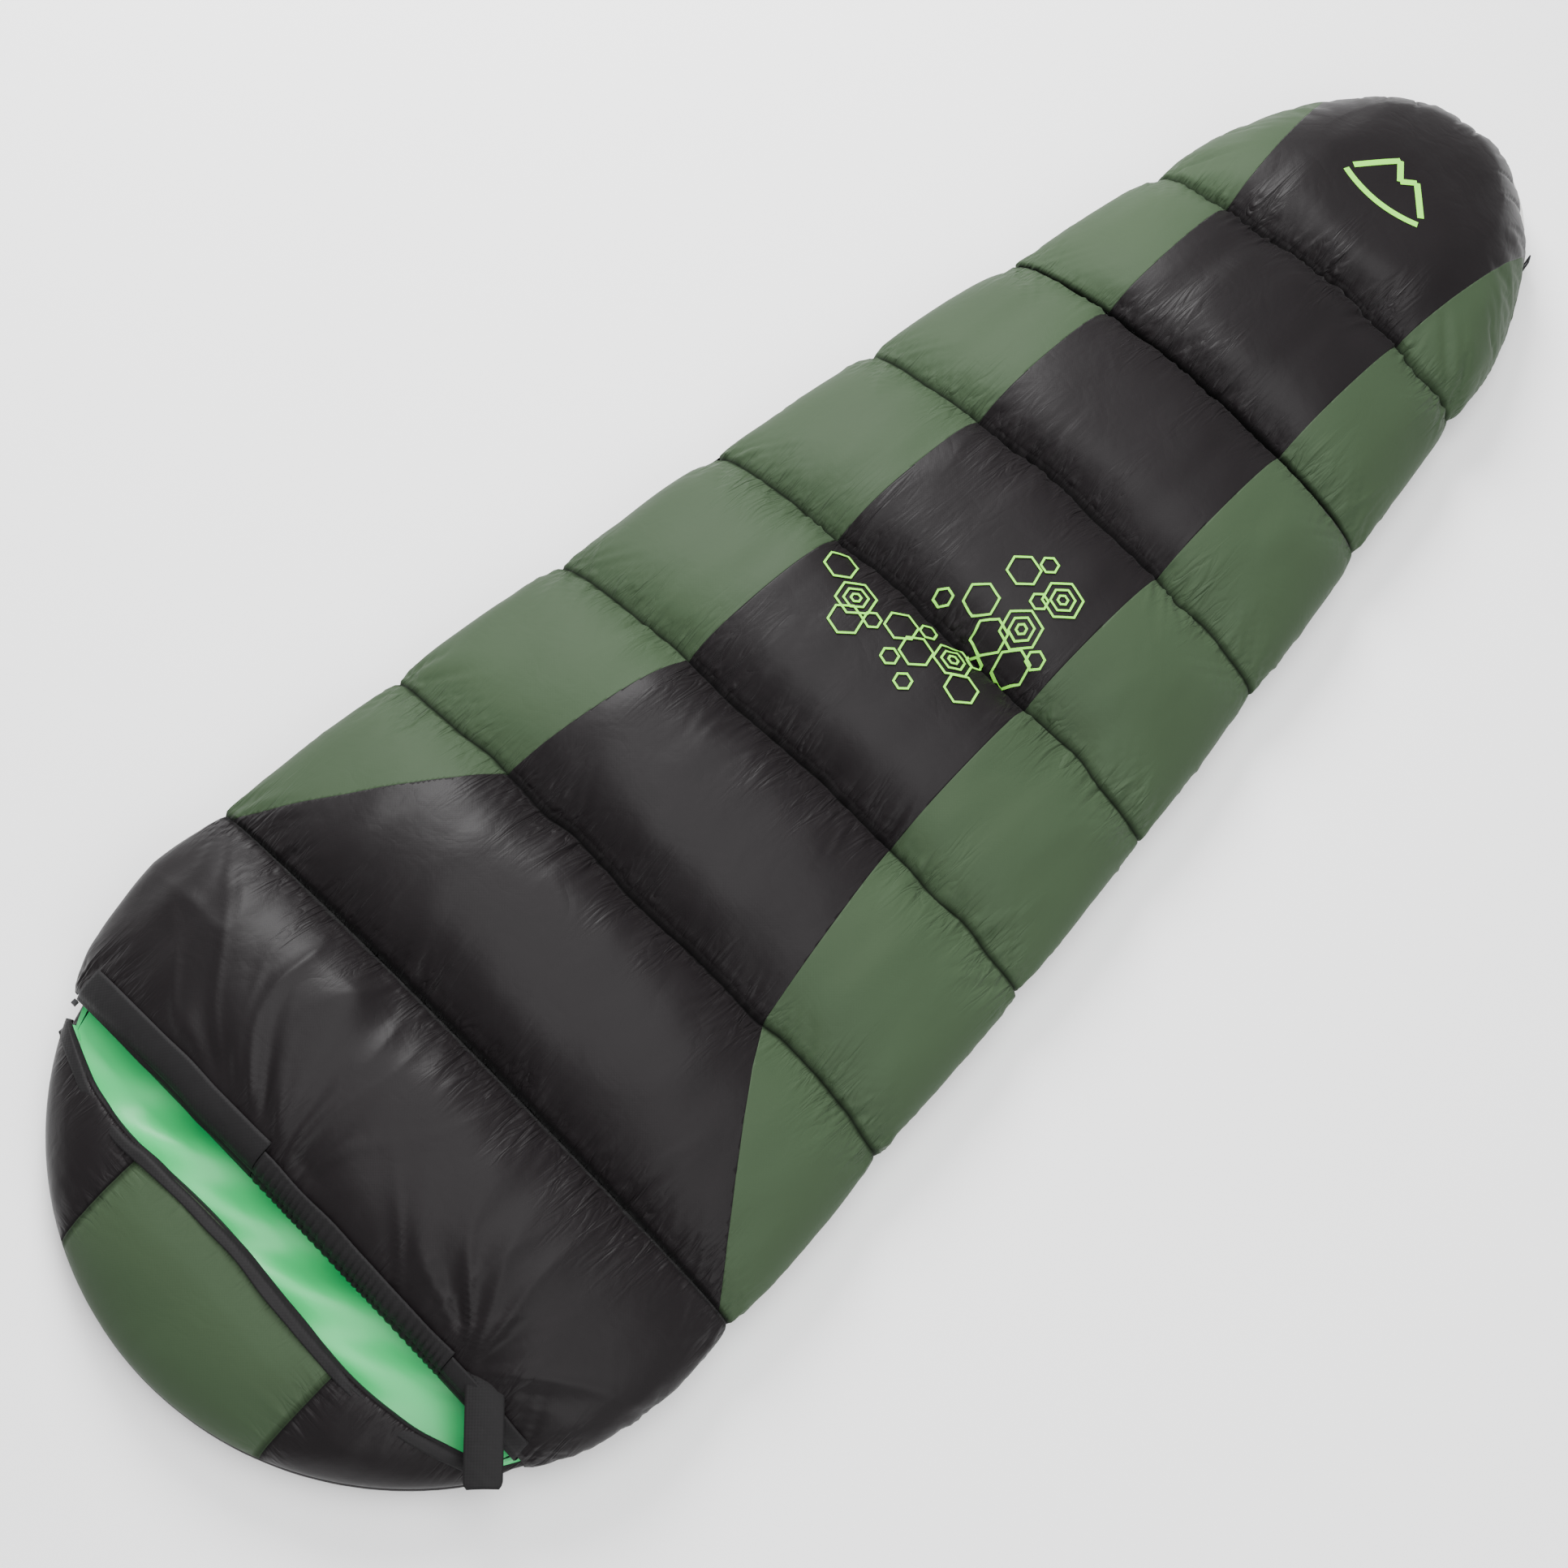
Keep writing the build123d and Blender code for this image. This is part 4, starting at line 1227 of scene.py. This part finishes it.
def hood_front(x):
    """y of the hood's front edge at x: a straight middle, slanting wings and soft corners."""
    wing_y, tip = HOOD_WING_Y, HOOD_END_X
    front_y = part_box("hood_center_panel")[1].y
    x = np.asarray(x, float)
    corners = [0, HOOD_CORNER, tip, tip + 0.1]
    heights = [front_y, front_y - 0.002, wing_y, wing_y]
    spread = np.clip((tip - np.abs(x)) / 2, 0.002, 0.06)
    smooth = np.mean([np.interp(np.abs(x + step * spread), corners, heights)
                      for step in np.linspace(-1, 1, 9)], axis=0)
    return smooth + 0.010 * np.exp(-(((x + 0.05) / 0.13) ** 2))


HOOD_TIP = HOOD_END_X - 0.004


def hood_height(x, y, sink=0.0):
    """Height of the hood's dome at a plan point."""
    s = sizes()
    radius = WIDEST - 0.003 - sink * 0.6
    reach = np.clip(np.hypot(x, y - HEAD_CENTRE_Y) / radius, 0, 1)
    dome = np.sqrt(np.clip(1 - reach**2.6, 0, 1))
    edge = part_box("hood_center_panel")[0].x
    nearest = np.minimum(np.abs(x - edge), np.abs(x + edge))
    seam = np.sqrt(np.clip(1 - (1 - np.clip(nearest / 0.055, 0, 1)) ** 2, 0, 1))
    from_front = np.clip((hood_front(x) - y) / 0.05, 0, 1)
    puff = 0.014 * seam * np.sqrt(from_front) * dome
    return s.side_seam_height + (0.080 - sink) * dome + puff


def hood_surface(u, v, sink=0.0, turn=0.93):
    """Points of the hood: from its front edge back to the rim, where it turns under."""
    a = HOOD_TIP - sink * 0.3
    x = a * np.sin((2 * u - 1) * math.pi / 2)
    front = hood_front(x)
    radius = WIDEST - 0.003 - sink * 0.6
    rim = HEAD_CENTRE_Y - np.sqrt(np.clip(radius**2 - x * x, 0, None))
    share = np.clip(v / turn, 0, 1)
    under = np.clip((v - turn) / (1 - turn), 0, 1)
    y = front + (np.minimum(rim, front) - front) * np.sin(share * math.pi / 2)
    z = hood_height(x, y, sink)
    back = 0.008 * (1 - np.cos(under * math.pi / 2))
    away = np.hypot(x, y - HEAD_CENTRE_Y)
    scale = 1 - back / np.maximum(away, 0.1)
    return np.stack([x * scale, HEAD_CENTRE_Y + (y - HEAD_CENTRE_Y) * scale, z], axis=-1)


class BAG_OT_hood(bpy.types.Operator):
    """Make the hood: three outer panels, filling and lining"""

    bl_idname = "bag.hood"
    bl_label = "Hood"

    def execute(self, context):
        s = sizes()
        dome = woven_grid("hood", 150, 44, hood_surface)
        points = points_of(dome)
        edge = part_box("hood_center_panel")[0].x
        x, y = points[:, 0], points[:, 1]
        beside = np.minimum(np.abs(x - edge), np.abs(x + edge))
        wrinkle = 0.6 * s.gather * puckers(y, beside, np.sign(x) + 70, 0.015, 71)
        from_rim = WIDEST - np.hypot(x, y - HEAD_CENTRE_Y)
        turn = np.arctan2(y - HEAD_CENTRE_Y, x)
        wrinkle += 0.8 * s.gather * puckers(turn * WIDEST, from_rim, 80, 0.020, 75)
        wrinkle += 0.0075 * (value_noise(x / 0.07 + 20, y / 0.06, 77) - 0.5)
        points[:, 2] += wrinkle * np.clip((points[:, 2] - 0.045) / 0.03, 0, 1)
        put_points(dome, points)
        near = np.minimum(np.abs(points[:, 0] - edge), np.abs(points[:, 0] + edge))
        float_attribute(dome, "seam", np.clip(1 - near / SEAM_WIDTH, 0, 1))
        from_front = np.abs(hood_front(points[:, 0]) - points[:, 1])
        float_attribute(dome, "pull", 0.7 * np.exp(-((from_front / 0.020) ** 1.5)))
        float_attribute(dome, "side_pull", 0.5 * np.exp(-((near / 0.015) ** 1.5)))
        for side in (-1, 1):
            cut_along(dome, HEAD_Y - 0.1, HEM_Y, (side * edge, HEAD_Y), (side * edge, HEM_Y))
        mend(dome, weld=WELD, turn=True)

        def which(centres):
            x = centres[:, 0]
            return np.where(np.abs(x) < abs(edge), 0, np.where(x < 0, 1, 2))

        parts = split_by(dome, ["hood_middle", "hood_left", "hood_right"], which)
        looks = {
            "hood_middle": (green_cloth, "green_shell", "hood_center_panel"),
            "hood_left": (dark_cloth, "dark_shell", "hood_left_panel"),
            "hood_right": (dark_cloth, "dark_shell", "hood_right_panel"),
        }
        for name, part in parts.items():
            cloth, slot, node = looks[name]
            thicken(part)
            dress(part, cloth())
            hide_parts(node)
            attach(part, "bag")

        def inside(u, v):
            return hood_surface(u, v, sink=s.quilt_thickness)

        def between(u, v):
            return hood_surface(0.12 + 0.76 * u, 0.06 + v * 0.62, sink=0.006)

        for name, place, depth, cloth, slot, node in (
            ("hood_lining_cloth", inside, s.cloth_thickness, lining_cloth, "lining", "hood_lining"),
            ("hood_filling", between, 0.014, filling_cloth, "filling", "hood_insulation"),
        ):
            piece = woven_grid(name, 60, 24, place)
            mend(piece, weld=WELD, turn=True)
            shade_smooth(piece)
            thicken(piece, depth)
            dress(piece, cloth())
            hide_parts(node)
            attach(piece, "bag")
        return {"FINISHED"}


# ---- bound edges ---------------------------------------------------------------------------
def bound_edge(name, x_low, x_high, line, outside, lap, drop, ruche=0.0, bulge=0.004,
               lift=0.0012, inward=1.0):
    """A strip folded over a quilt's edge: outside lap, over the edge, and a lap on the lining."""
    turns = np.array([0.0, 0.16, 0.30, 0.42, 0.5, 0.60, 0.72, 0.86, 1.0])
    along_y = np.array([lap, lap * 0.4, 0.002, -bulge * 0.8, -bulge, -bulge * 0.8, 0.001,
                        lap * 0.3, lap * 0.6])
    depth = np.array([-lift, -lift * 1.6, -lift, drop * 0.2, drop * 0.5, drop * 0.85, drop,
                      drop, drop])

    def place(u, v):
        x = x_low + (x_high - x_low) * u
        gather = ruche * np.sin(2 * math.pi * x / 0.0085 + 2.5 * np.sin(x * 61))
        wave = np.sin(v * math.pi)
        back = np.interp(v, turns, along_y)
        y = line(x) + inward * (back - gather * 0.4 * wave)
        height = np.where(v < 0.5, outside(x, line(x) + inward * np.maximum(back, 0)),
                          outside(x, line(x)))
        soft = (value_noise(x / 0.045, v * 4, 91) - 0.5) * (v < 0.5)
        y = y + inward * 0.003 * soft
        z = height - np.interp(v, turns, depth) + gather * wave * (v < 0.55)
        z = z + 0.0022 * np.abs(soft)
        return np.stack([x, y, z], axis=-1)

    columns = int(max(24, (x_high - x_low) / (0.0014 if ruche else 0.004)))
    strip = woven_grid(name, columns, 26, place)
    mend(strip, turn=inward > 0)
    shade_smooth(strip)
    thicken(strip, 0.0012)
    return strip


class BAG_OT_bound_edges(bpy.types.Operator):
    """Make the collar band, drawcord channel, hem facing and hood binding"""

    bl_idname = "bag.bound_edges"
    bl_label = "Bound edges"

    def execute(self, context):
        s = sizes()
        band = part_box("collar_band")
        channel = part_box("drawcord_channel")
        drop = s.quilt_thickness + 0.001

        def hem(x):
            return np.full_like(np.asarray(x, float), HEM_Y)

        pieces = (
            ("collar", band[0].x - 0.006, band[1].x, band[1].y - band[0].y, 0.0, "collar_band"),
            ("hem_channel", band[1].x + 0.001, channel[1].x + 0.006, 0.020, 0.0021,
             "drawcord_channel"),
            ("hem_facing", channel[1].x + 0.007, -band[0].x + 0.004, 0.016, 0.0, None),
        )
        for name, low, high, lap, ruche, node in pieces:
            strip = bound_edge(name, low, high, hem, top_height, lap, drop, ruche)
            dress(strip, trim_cloth())
            if node:
                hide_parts(node)
            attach(strip, "top_cover")

        def hood_outside(x, y):
            return hood_height(x, np.minimum(y, hood_front(x)))

        tip = HOOD_TIP - 0.006
        strip = bound_edge("hood_edge", -tip, tip, hood_front, hood_outside,
                           0.013, s.quilt_thickness * 0.85, 0.0, inward=-1.0)
        dress(strip, trim_cloth())
        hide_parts("hood_binding")
        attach(strip, "bag")
        return {"FINISHED"}


def top_height(x, y):
    """Height of the top quilt's cloth at a plan point."""
    s = sizes()
    puff = chamber_puff(y)
    half = half_width(y) - SHELL_INSIDE + CHAMBER_BULGE * puff
    angle = np.arcsin(np.clip(np.asarray(x, float) / half, -1, 1))
    rise = s.seam_height - s.side_height + s.loft * puff * (0.55 + 0.45 * np.cos(angle))
    return s.side_height + 0.004 * puff + rise * np.cos(angle)


# ---- zip -----------------------------------------------------------------------------------
def zip_strip(name, y_low, y_high, wide, z_low, z_high, tooth=0.0, step=0.006):
    """A closed band along the zip's line; with a tooth pitch it is ribbed like a wound coil."""
    rows = int((y_high - y_low) / (tooth / 2 if tooth else step))
    around = 10
    middle_z = (z_low + z_high) / 2
    tall = (z_high - z_low) / 2

    def place(u, v):
        y = y_low + (y_high - y_low) * v
        turn = u * 2 * math.pi
        row = np.round(v * rows)
        rib = np.where(tooth > 0, 1 - 0.45 * (row % 2), 1.0)
        squared = 0.5 if tooth else 0.15
        out = wide * rib * np.sign(np.cos(turn)) * np.abs(np.cos(turn)) ** squared
        z = middle_z + tall * rib * np.sign(np.sin(turn)) * np.abs(np.sin(turn)) ** squared
        return np.stack([zip_x(y) - out, y, z], axis=-1)

    band = woven_grid(name, around, rows, place)
    mend(band, weld=WELD / 10, cap=True, outward=True)
    return band


class BAG_OT_zip(bpy.types.Operator):
    """Make the two tapes, the two toothed coils, the pull and the draft tube, and finish the metal"""

    bl_idname = "bag.zip"
    bl_label = "Zip"

    def execute(self, context):
        for node, tooth in (
            ("zip_tape_lower", 0.0), ("zip_tape_upper", 0.0),
            ("zip_coil_lower", 0.0016), ("zip_coil_upper", 0.0016),
        ):
            low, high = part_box(node)
            wide = 0.0011 if tooth else 0.0004
            strip = zip_strip(node + "_cloth", low.y + 0.001, high.y - 0.001, wide,
                              low.z, high.z, tooth)
            if tooth:
                dress(strip, plastic_material("coil plastic", colours().trim, 0.35))
            else:
                dress(strip, tape_material())
            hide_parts(node)
            if node.endswith("upper"):
                follow_cover(strip)
            else:
                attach(strip, "bag")
        self.pull()
        self.draft_tube()
        for name in ("zip_slider", "zip_top_stop", "zip_bottom_stop"):
            for slot in frame["nodes"][name].material_slots:
                slot.material = metal_material()
        return {"FINISHED"}

    def pull(self):
        """Moulded pull with a gripping end, standing on its edge in the slider's ears."""
        low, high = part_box("zip_pull_tab")
        start = ZIP_POINT.copy()
        end = Vector((high.x if abs(high.x - start.x) > abs(low.x - start.x) else low.x,
                      high.y, start.z))
        along = (end - start).normalized()
        length = (end - start).length
        across = Vector((0, 0, 1))
        out = along.cross(across)
        bm = bmesh.new()
        bmesh.ops.create_cube(bm, size=1.0)
        bmesh.ops.subdivide_edges(bm, edges=[e for e in bm.edges if abs(
            (e.verts[0].co - e.verts[1].co).x) > 0.5], cuts=22, use_grid_fill=True)
        for vert in bm.verts:
            t = vert.co.x + 0.5
            rib = 1 + 0.16 * math.cos(t * 60) * (0.45 < t < 0.95)
            tall = 0.0062 * (0.62 + 0.38 * math.sin(min(1, t * 1.4) * math.pi / 2))
            thick = 0.0022 * rib
            vert.co = (start + along * (length * t - 0.0015) + across * vert.co.z * tall
                       + out * vert.co.y * thick)
        bmesh.ops.recalc_face_normals(bm, faces=bm.faces[:])
        tab = new_piece("pull_tab")
        bm.to_mesh(tab.data)
        bm.free()
        bevel = tab.modifiers.new("Edges", "BEVEL")
        bevel.width = 0.0005
        bevel.segments = 2
        dress(tab, plastic_material("pull rubber", colours().trim, 0.55))
        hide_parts("zip_pull_tab")
        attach(tab, "zip_pull")

    def draft_tube(self):
        """Stuffed tube of lining cloth behind the zip, puckered where it is stitched."""
        low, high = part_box("zip_draft_tube")
        radius = (high.z - low.z) / 2
        middle = (high.z + low.z) / 2
        inset = -half_width(low.y + 0.01) - low.x - radius

        def place(u, v):
            y = low.y + 0.004 + (high.y - low.y - 0.008) * v
            end = np.sqrt(np.clip(1 - (np.abs(2 * v - 1)) ** 60, 0, 1))
            size = radius * (1 - 0.10 * np.abs(np.sin(y * 95))) * end * 0.97
            turn = u * 2 * math.pi
            x = -half_width(y) - inset
            return np.stack([x + size * np.cos(turn), y, middle + size * np.sin(turn)], axis=-1)

        tube = woven_grid("draft_tube", 16, 240, place)
        mend(tube, weld=WELD, cap=True, outward=True)
        shade_smooth(tube)
        dress(tube, lining_cloth())
        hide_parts("zip_draft_tube")
        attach(tube, "bag")


def plastic_material(name, colour, roughness):
    """Moulded plastic with a fine grain."""
    found = bpy.data.materials.get(name)
    if found:
        return found
    material = bpy.data.materials.new(name)
    material.use_nodes = True
    tree = material.node_tree
    shader = tree.nodes["Principled BSDF"]
    place = tree.nodes.new("ShaderNodeTexCoord")
    grain = tree.nodes.new("ShaderNodeTexNoise")
    grain.inputs["Scale"].default_value = 900
    tree.links.new(place.outputs["Object"], grain.inputs["Vector"])
    tint = tree.nodes.new("ShaderNodeMix")
    tint.data_type = "RGBA"
    tint.inputs["A"].default_value = [0.7 * c for c in colour[:3]] + [1]
    tint.inputs["B"].default_value = [1.5 * c for c in colour[:3]] + [1]
    tree.links.new(grain.outputs[0], tint.inputs["Factor"])
    tree.links.new(tint.outputs["Result"], shader.inputs["Base Color"])
    rough = maths(tree, "MULTIPLY_ADD", grain.outputs[0], 0.2)
    rough.node.inputs[2].default_value = roughness - 0.1
    tree.links.new(rough, shader.inputs["Roughness"])
    bump = tree.nodes.new("ShaderNodeBump")
    bump.inputs["Strength"].default_value = 0.1
    bump.inputs["Distance"].default_value = 0.0003
    tree.links.new(grain.outputs[0], bump.inputs["Height"])
    tree.links.new(bump.outputs["Normal"], shader.inputs["Normal"])
    return material


def metal_material():
    """Black painted die-cast metal, rubbed bright in places."""
    found = bpy.data.materials.get("painted slider")
    if found:
        return found
    material = plastic_material("painted slider", (0.03, 0.03, 0.032, 1), 0.35)
    material.node_tree.nodes["Principled BSDF"].inputs["Metallic"].default_value = 0.7
    return material


def tape_material():
    return cloth_material("zip tape", colours().trim, 0.7, crumple=0.05, weave=0.6,
                          threads=4500.0, dark_seams=False)


def webbing_material():
    return cloth_material("webbing", colours().trim, 0.66, crumple=0.05, weave=0.3,
                          threads=2100.0, dark_seams=False, specular=0.08)


# ---- neck tab and foot trim -----------------------------------------------------------------
class BAG_OT_trim(bpy.types.Operator):
    """Make the neck tab and finish the hanging loop"""

    bl_idname = "bag.trim"
    bl_label = "Neck tab and hanging loop"

    def execute(self, context):
        low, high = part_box("neck_tab")
        joint = JOINTS["neck_tab_lift"]
        root = Vector(joint["pos_m"])
        turn_axis = Vector(joint["axis"]).normalized()
        along = Vector((turn_axis.y * -1, turn_axis.x, 0))
        if along.x < 0:
            along = -along
        length = 0.128
        width = 0.038
        fall = (high.z - low.z - 0.004)

        def place(u, v):
            t = v * length
            side = (u - 0.5) * width * np.where(v > 0.94, np.sqrt(
                np.clip(1 - ((v - 0.94) / 0.06) ** 2 * 0.35, 0, 1)), 1.0)
            x = root.x + along.x * t - along.y * side
            y = root.y + along.y * t + along.x * side
            slope = root.z - fall * v
            z = slope + 0.0036 * np.sin(v * math.pi) + 0.0022 - 0.002 * (2 * u - 1) ** 2
            return np.stack([x, y, z], axis=-1)

        tab = woven_grid("neck_strap", 16, 40, place)
        shade_smooth(tab)
        thicken(tab, 0.0022)
        dress(tab, trim_cloth())
        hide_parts("neck_tab")
        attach(tab, "neck_tab")
        for slot in frame["nodes"]["foot_hang_loop"].material_slots:
            slot.material = webbing_material()
        return {"FINISHED"}


# ---- printed marks --------------------------------------------------------------------------
class BAG_OT_prints(bpy.types.Operator):
    """Lay the printed hexagons on the legs and a plain mountain mark on the foot"""

    bl_idname = "bag.prints"
    bl_label = "Printed marks"

    def execute(self, context):
        scene_pieces = bpy.data.objects
        cover = surface_tree([scene_pieces["center_panel"]])
        foot = surface_tree([scene_pieces["foot_center"]])
        self.hexagons(cover)
        self.mountain(foot)
        return {"FINISHED"}

    def hexagons(self, tree):
        pitch = 0.0395
        rows = [".O.....Oo", ".@..oO.o@", ".OoOo.O@.", "..oO@oOo.", "...o.O..."]
        rings = {"o": (0.0120,), "O": (0.0215,), "@": (0.0255, 0.0160, 0.0075)}
        across, upward = Vector((0.71, 0.70, 0)), Vector((-0.70, 0.71, 0))
        middle = Vector((0.004, -0.012, 0))
        bm = bmesh.new()
        for number, row in enumerate(rows):
            for place, mark in enumerate(row):
                right = (place - 3.7 + 0.5 * (number % 2)) * pitch * 0.88
                up = (2 - number) * pitch * 0.95
                centre = middle + across * right + upward * up
                x = centre.x + 0.005 * math.sin(5 * number + 3 * place)
                y = centre.y + 0.005 * math.cos(3 * number + 7 * place)
                for size in rings.get(mark, ()):
                    self.ring(bm, x, y, size, size - 0.0029)
        print_piece = new_piece("hexagon_print")
        bm.to_mesh(print_piece.data)
        bm.free()
        lay_on(print_piece, tree, 0.0016)
        thicken(print_piece, 0.0005)
        dress(print_piece, print_material())
        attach(print_piece, "top_cover")

    def ring(self, bm, x, y, outer, inner):
        """A flat hexagon ring, with its points towards +Y and -Y."""
        loops = []
        for radius in (outer, inner):
            verts = []
            for corner in range(6):
                for k in range(6):
                    a, b = (math.radians(60 * (corner + end) + 45) for end in (0, 1))
                    px = math.cos(a) + (math.cos(b) - math.cos(a)) * k / 6
                    py = math.sin(a) + (math.sin(b) - math.sin(a)) * k / 6
                    verts.append(bm.verts.new((x + radius * px, y + radius * py, 0)))
            loops.append(verts)
        count = len(loops[0])
        for i in range(count):
            j = (i + 1) % count
            bm.faces.new((loops[0][i], loops[0][j], loops[1][j], loops[1][i]))

    def mountain(self, tree):
        """Two peaks over a bowed bar: a plain mark of no maker."""
        bm = bmesh.new()
        peaks = [(-0.055, -0.018), (-0.018, 0.036), (0.002, 0.008), (0.018, 0.024), (0.055, -0.018)]
        wide = 0.0085
        steps = 8
        for (x0, y0), (x1, y1) in zip(peaks, peaks[1:]):
            run = Vector((x1 - x0, y1 - y0))
            side = Vector((-run.y, run.x)).normalized() * wide / 2
            rail = []
            for k in range(steps + 1):
                middle = Vector((x0, y0)) + run * k / steps
                rail.append([bm.verts.new((*(middle + side * way), 0)) for way in (-1, 1)])
            for (a, b), (c, d) in zip(rail, rail[1:]):
                bm.faces.new((a, c, d, b))
        rail = []
        for k in range(25):
            a = math.radians(-22 + 44 * k / 24)
            rail.append([
                bm.verts.new((r * math.sin(a), 0.115 - r * math.cos(a), 0))
                for r in (0.160, 0.152)
            ])
        for (a, b), (c, d) in zip(rail, rail[1:]):
            bm.faces.new((a, c, d, b))
        bmesh.ops.translate(bm, verts=bm.verts[:], vec=(-0.005, 0.895, 0))
        mark = new_piece("mountain_print")
        bm.to_mesh(mark.data)
        bm.free()
        lay_on(mark, tree, 0.0009)
        thicken(mark, 0.0005)
        dress(mark, print_material())
        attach(mark, "bag")


def print_material():
    return cloth_material("print ink", colours().ink, 0.5, crumple=0.1, weave=0.1,
                          dark_seams=False, sheen=0.0)


# ---- stage ----------------------------------------------------------------------------------
class BAG_OT_stage(bpy.types.Operator):
    """Add the floor, soft studio lights and the camera"""

    bl_idname = "bag.stage"
    bl_label = "Stage"

    def execute(self, context):
        bm = bmesh.new()
        bmesh.ops.create_grid(bm, x_segments=1, y_segments=1, size=14.0)
        floor = new_piece("floor")
        bm.to_mesh(floor.data)
        bm.free()
        material = bpy.data.materials.new("floor")
        material.use_nodes = True
        shader = material.node_tree.nodes["Principled BSDF"]
        shader.inputs["Base Color"].default_value = (0.95, 0.95, 0.955, 1)
        shader.inputs["Roughness"].default_value = 0.85
        floor.data.materials.append(material)
        self.light("key", (-2.6, 1.4, 2.4), 1.8, 280)
        self.light("fill", (2.6, -1.5, 2.8), 3.0, 110)
        self.light("top", (0.0, 0.2, 4.2), 3.4, 170)
        world = bpy.data.worlds.new("studio")
        world.use_nodes = True
        world.node_tree.nodes["Background"].inputs["Color"].default_value = (1, 1, 1, 1)
        world.node_tree.nodes["Background"].inputs["Strength"].default_value = 0.62
        context.scene.world = world
        data = bpy.data.cameras.new("camera")
        data.lens = 50.5
        data.sensor_width = 36
        camera = bpy.data.objects.new("camera", data)
        turn = (Matrix.Rotation(math.radians(28.28), 4, "Z")
                @ Matrix.Rotation(math.radians(23.56), 4, "X")
                @ Matrix.Rotation(math.radians(16.96), 4, "Z"))
        camera.matrix_world = Matrix.Translation((0.48, -1.103, 2.33)) @ turn
        context.scene.collection.objects.link(camera)
        context.scene.camera = camera
        return {"FINISHED"}

    def light(self, name, place, size, power):
        data = bpy.data.lights.new(name, "AREA")
        data.shape = "DISK"
        data.size = size
        data.energy = power
        lamp = bpy.data.objects.new(name, data)
        way = Vector((0, 0, 0)) - Vector(place)
        lamp.matrix_world = Matrix.Translation(place) @ way.to_track_quat("-Z", "Y").to_matrix().to_4x4()
        bpy.context.scene.collection.objects.link(lamp)


# ---- panel and start -----------------------------------------------------------------------
STEPS = (
    BAG_OT_top_quilt, BAG_OT_quilt_insides, BAG_OT_bottom_quilt, BAG_OT_hood, BAG_OT_bound_edges,
    BAG_OT_zip, BAG_OT_trim, BAG_OT_prints, BAG_OT_stage,
)


class BAG_PT_panel(bpy.types.Panel):
    """Steps of the sleeping bag"""

    bl_idname = "BAG_PT_panel"
    bl_label = "Mummy Sleeping Bag"
    bl_space_type = "VIEW_3D"
    bl_region_type = "UI"
    bl_category = "Sleeping Bag"

    def draw(self, context):
        layout = self.layout
        for group in (context.scene.bag_sizes, context.scene.bag_colours):
            for name in group.bl_rna.properties.keys():
                if name not in ("rna_type", "name"):
                    layout.prop(group, name)
        for step in STEPS:
            layout.operator(step.bl_idname)


CLASSES = (BagSizes, BagColours, *STEPS, BAG_PT_panel)


def register():
    for cls in CLASSES:
        bpy.utils.register_class(cls)
    bpy.types.Scene.bag_sizes = PointerProperty(type=BagSizes)
    bpy.types.Scene.bag_colours = PointerProperty(type=BagColours)


def unregister():
    del bpy.types.Scene.bag_colours
    del bpy.types.Scene.bag_sizes
    for cls in reversed(CLASSES):
        bpy.utils.unregister_class(cls)


def main():
    register()
    for step in STEPS:
        group, name = step.bl_idname.split(".")
        getattr(getattr(bpy.ops, group), name)()


if __name__ == "__main__":
    main()
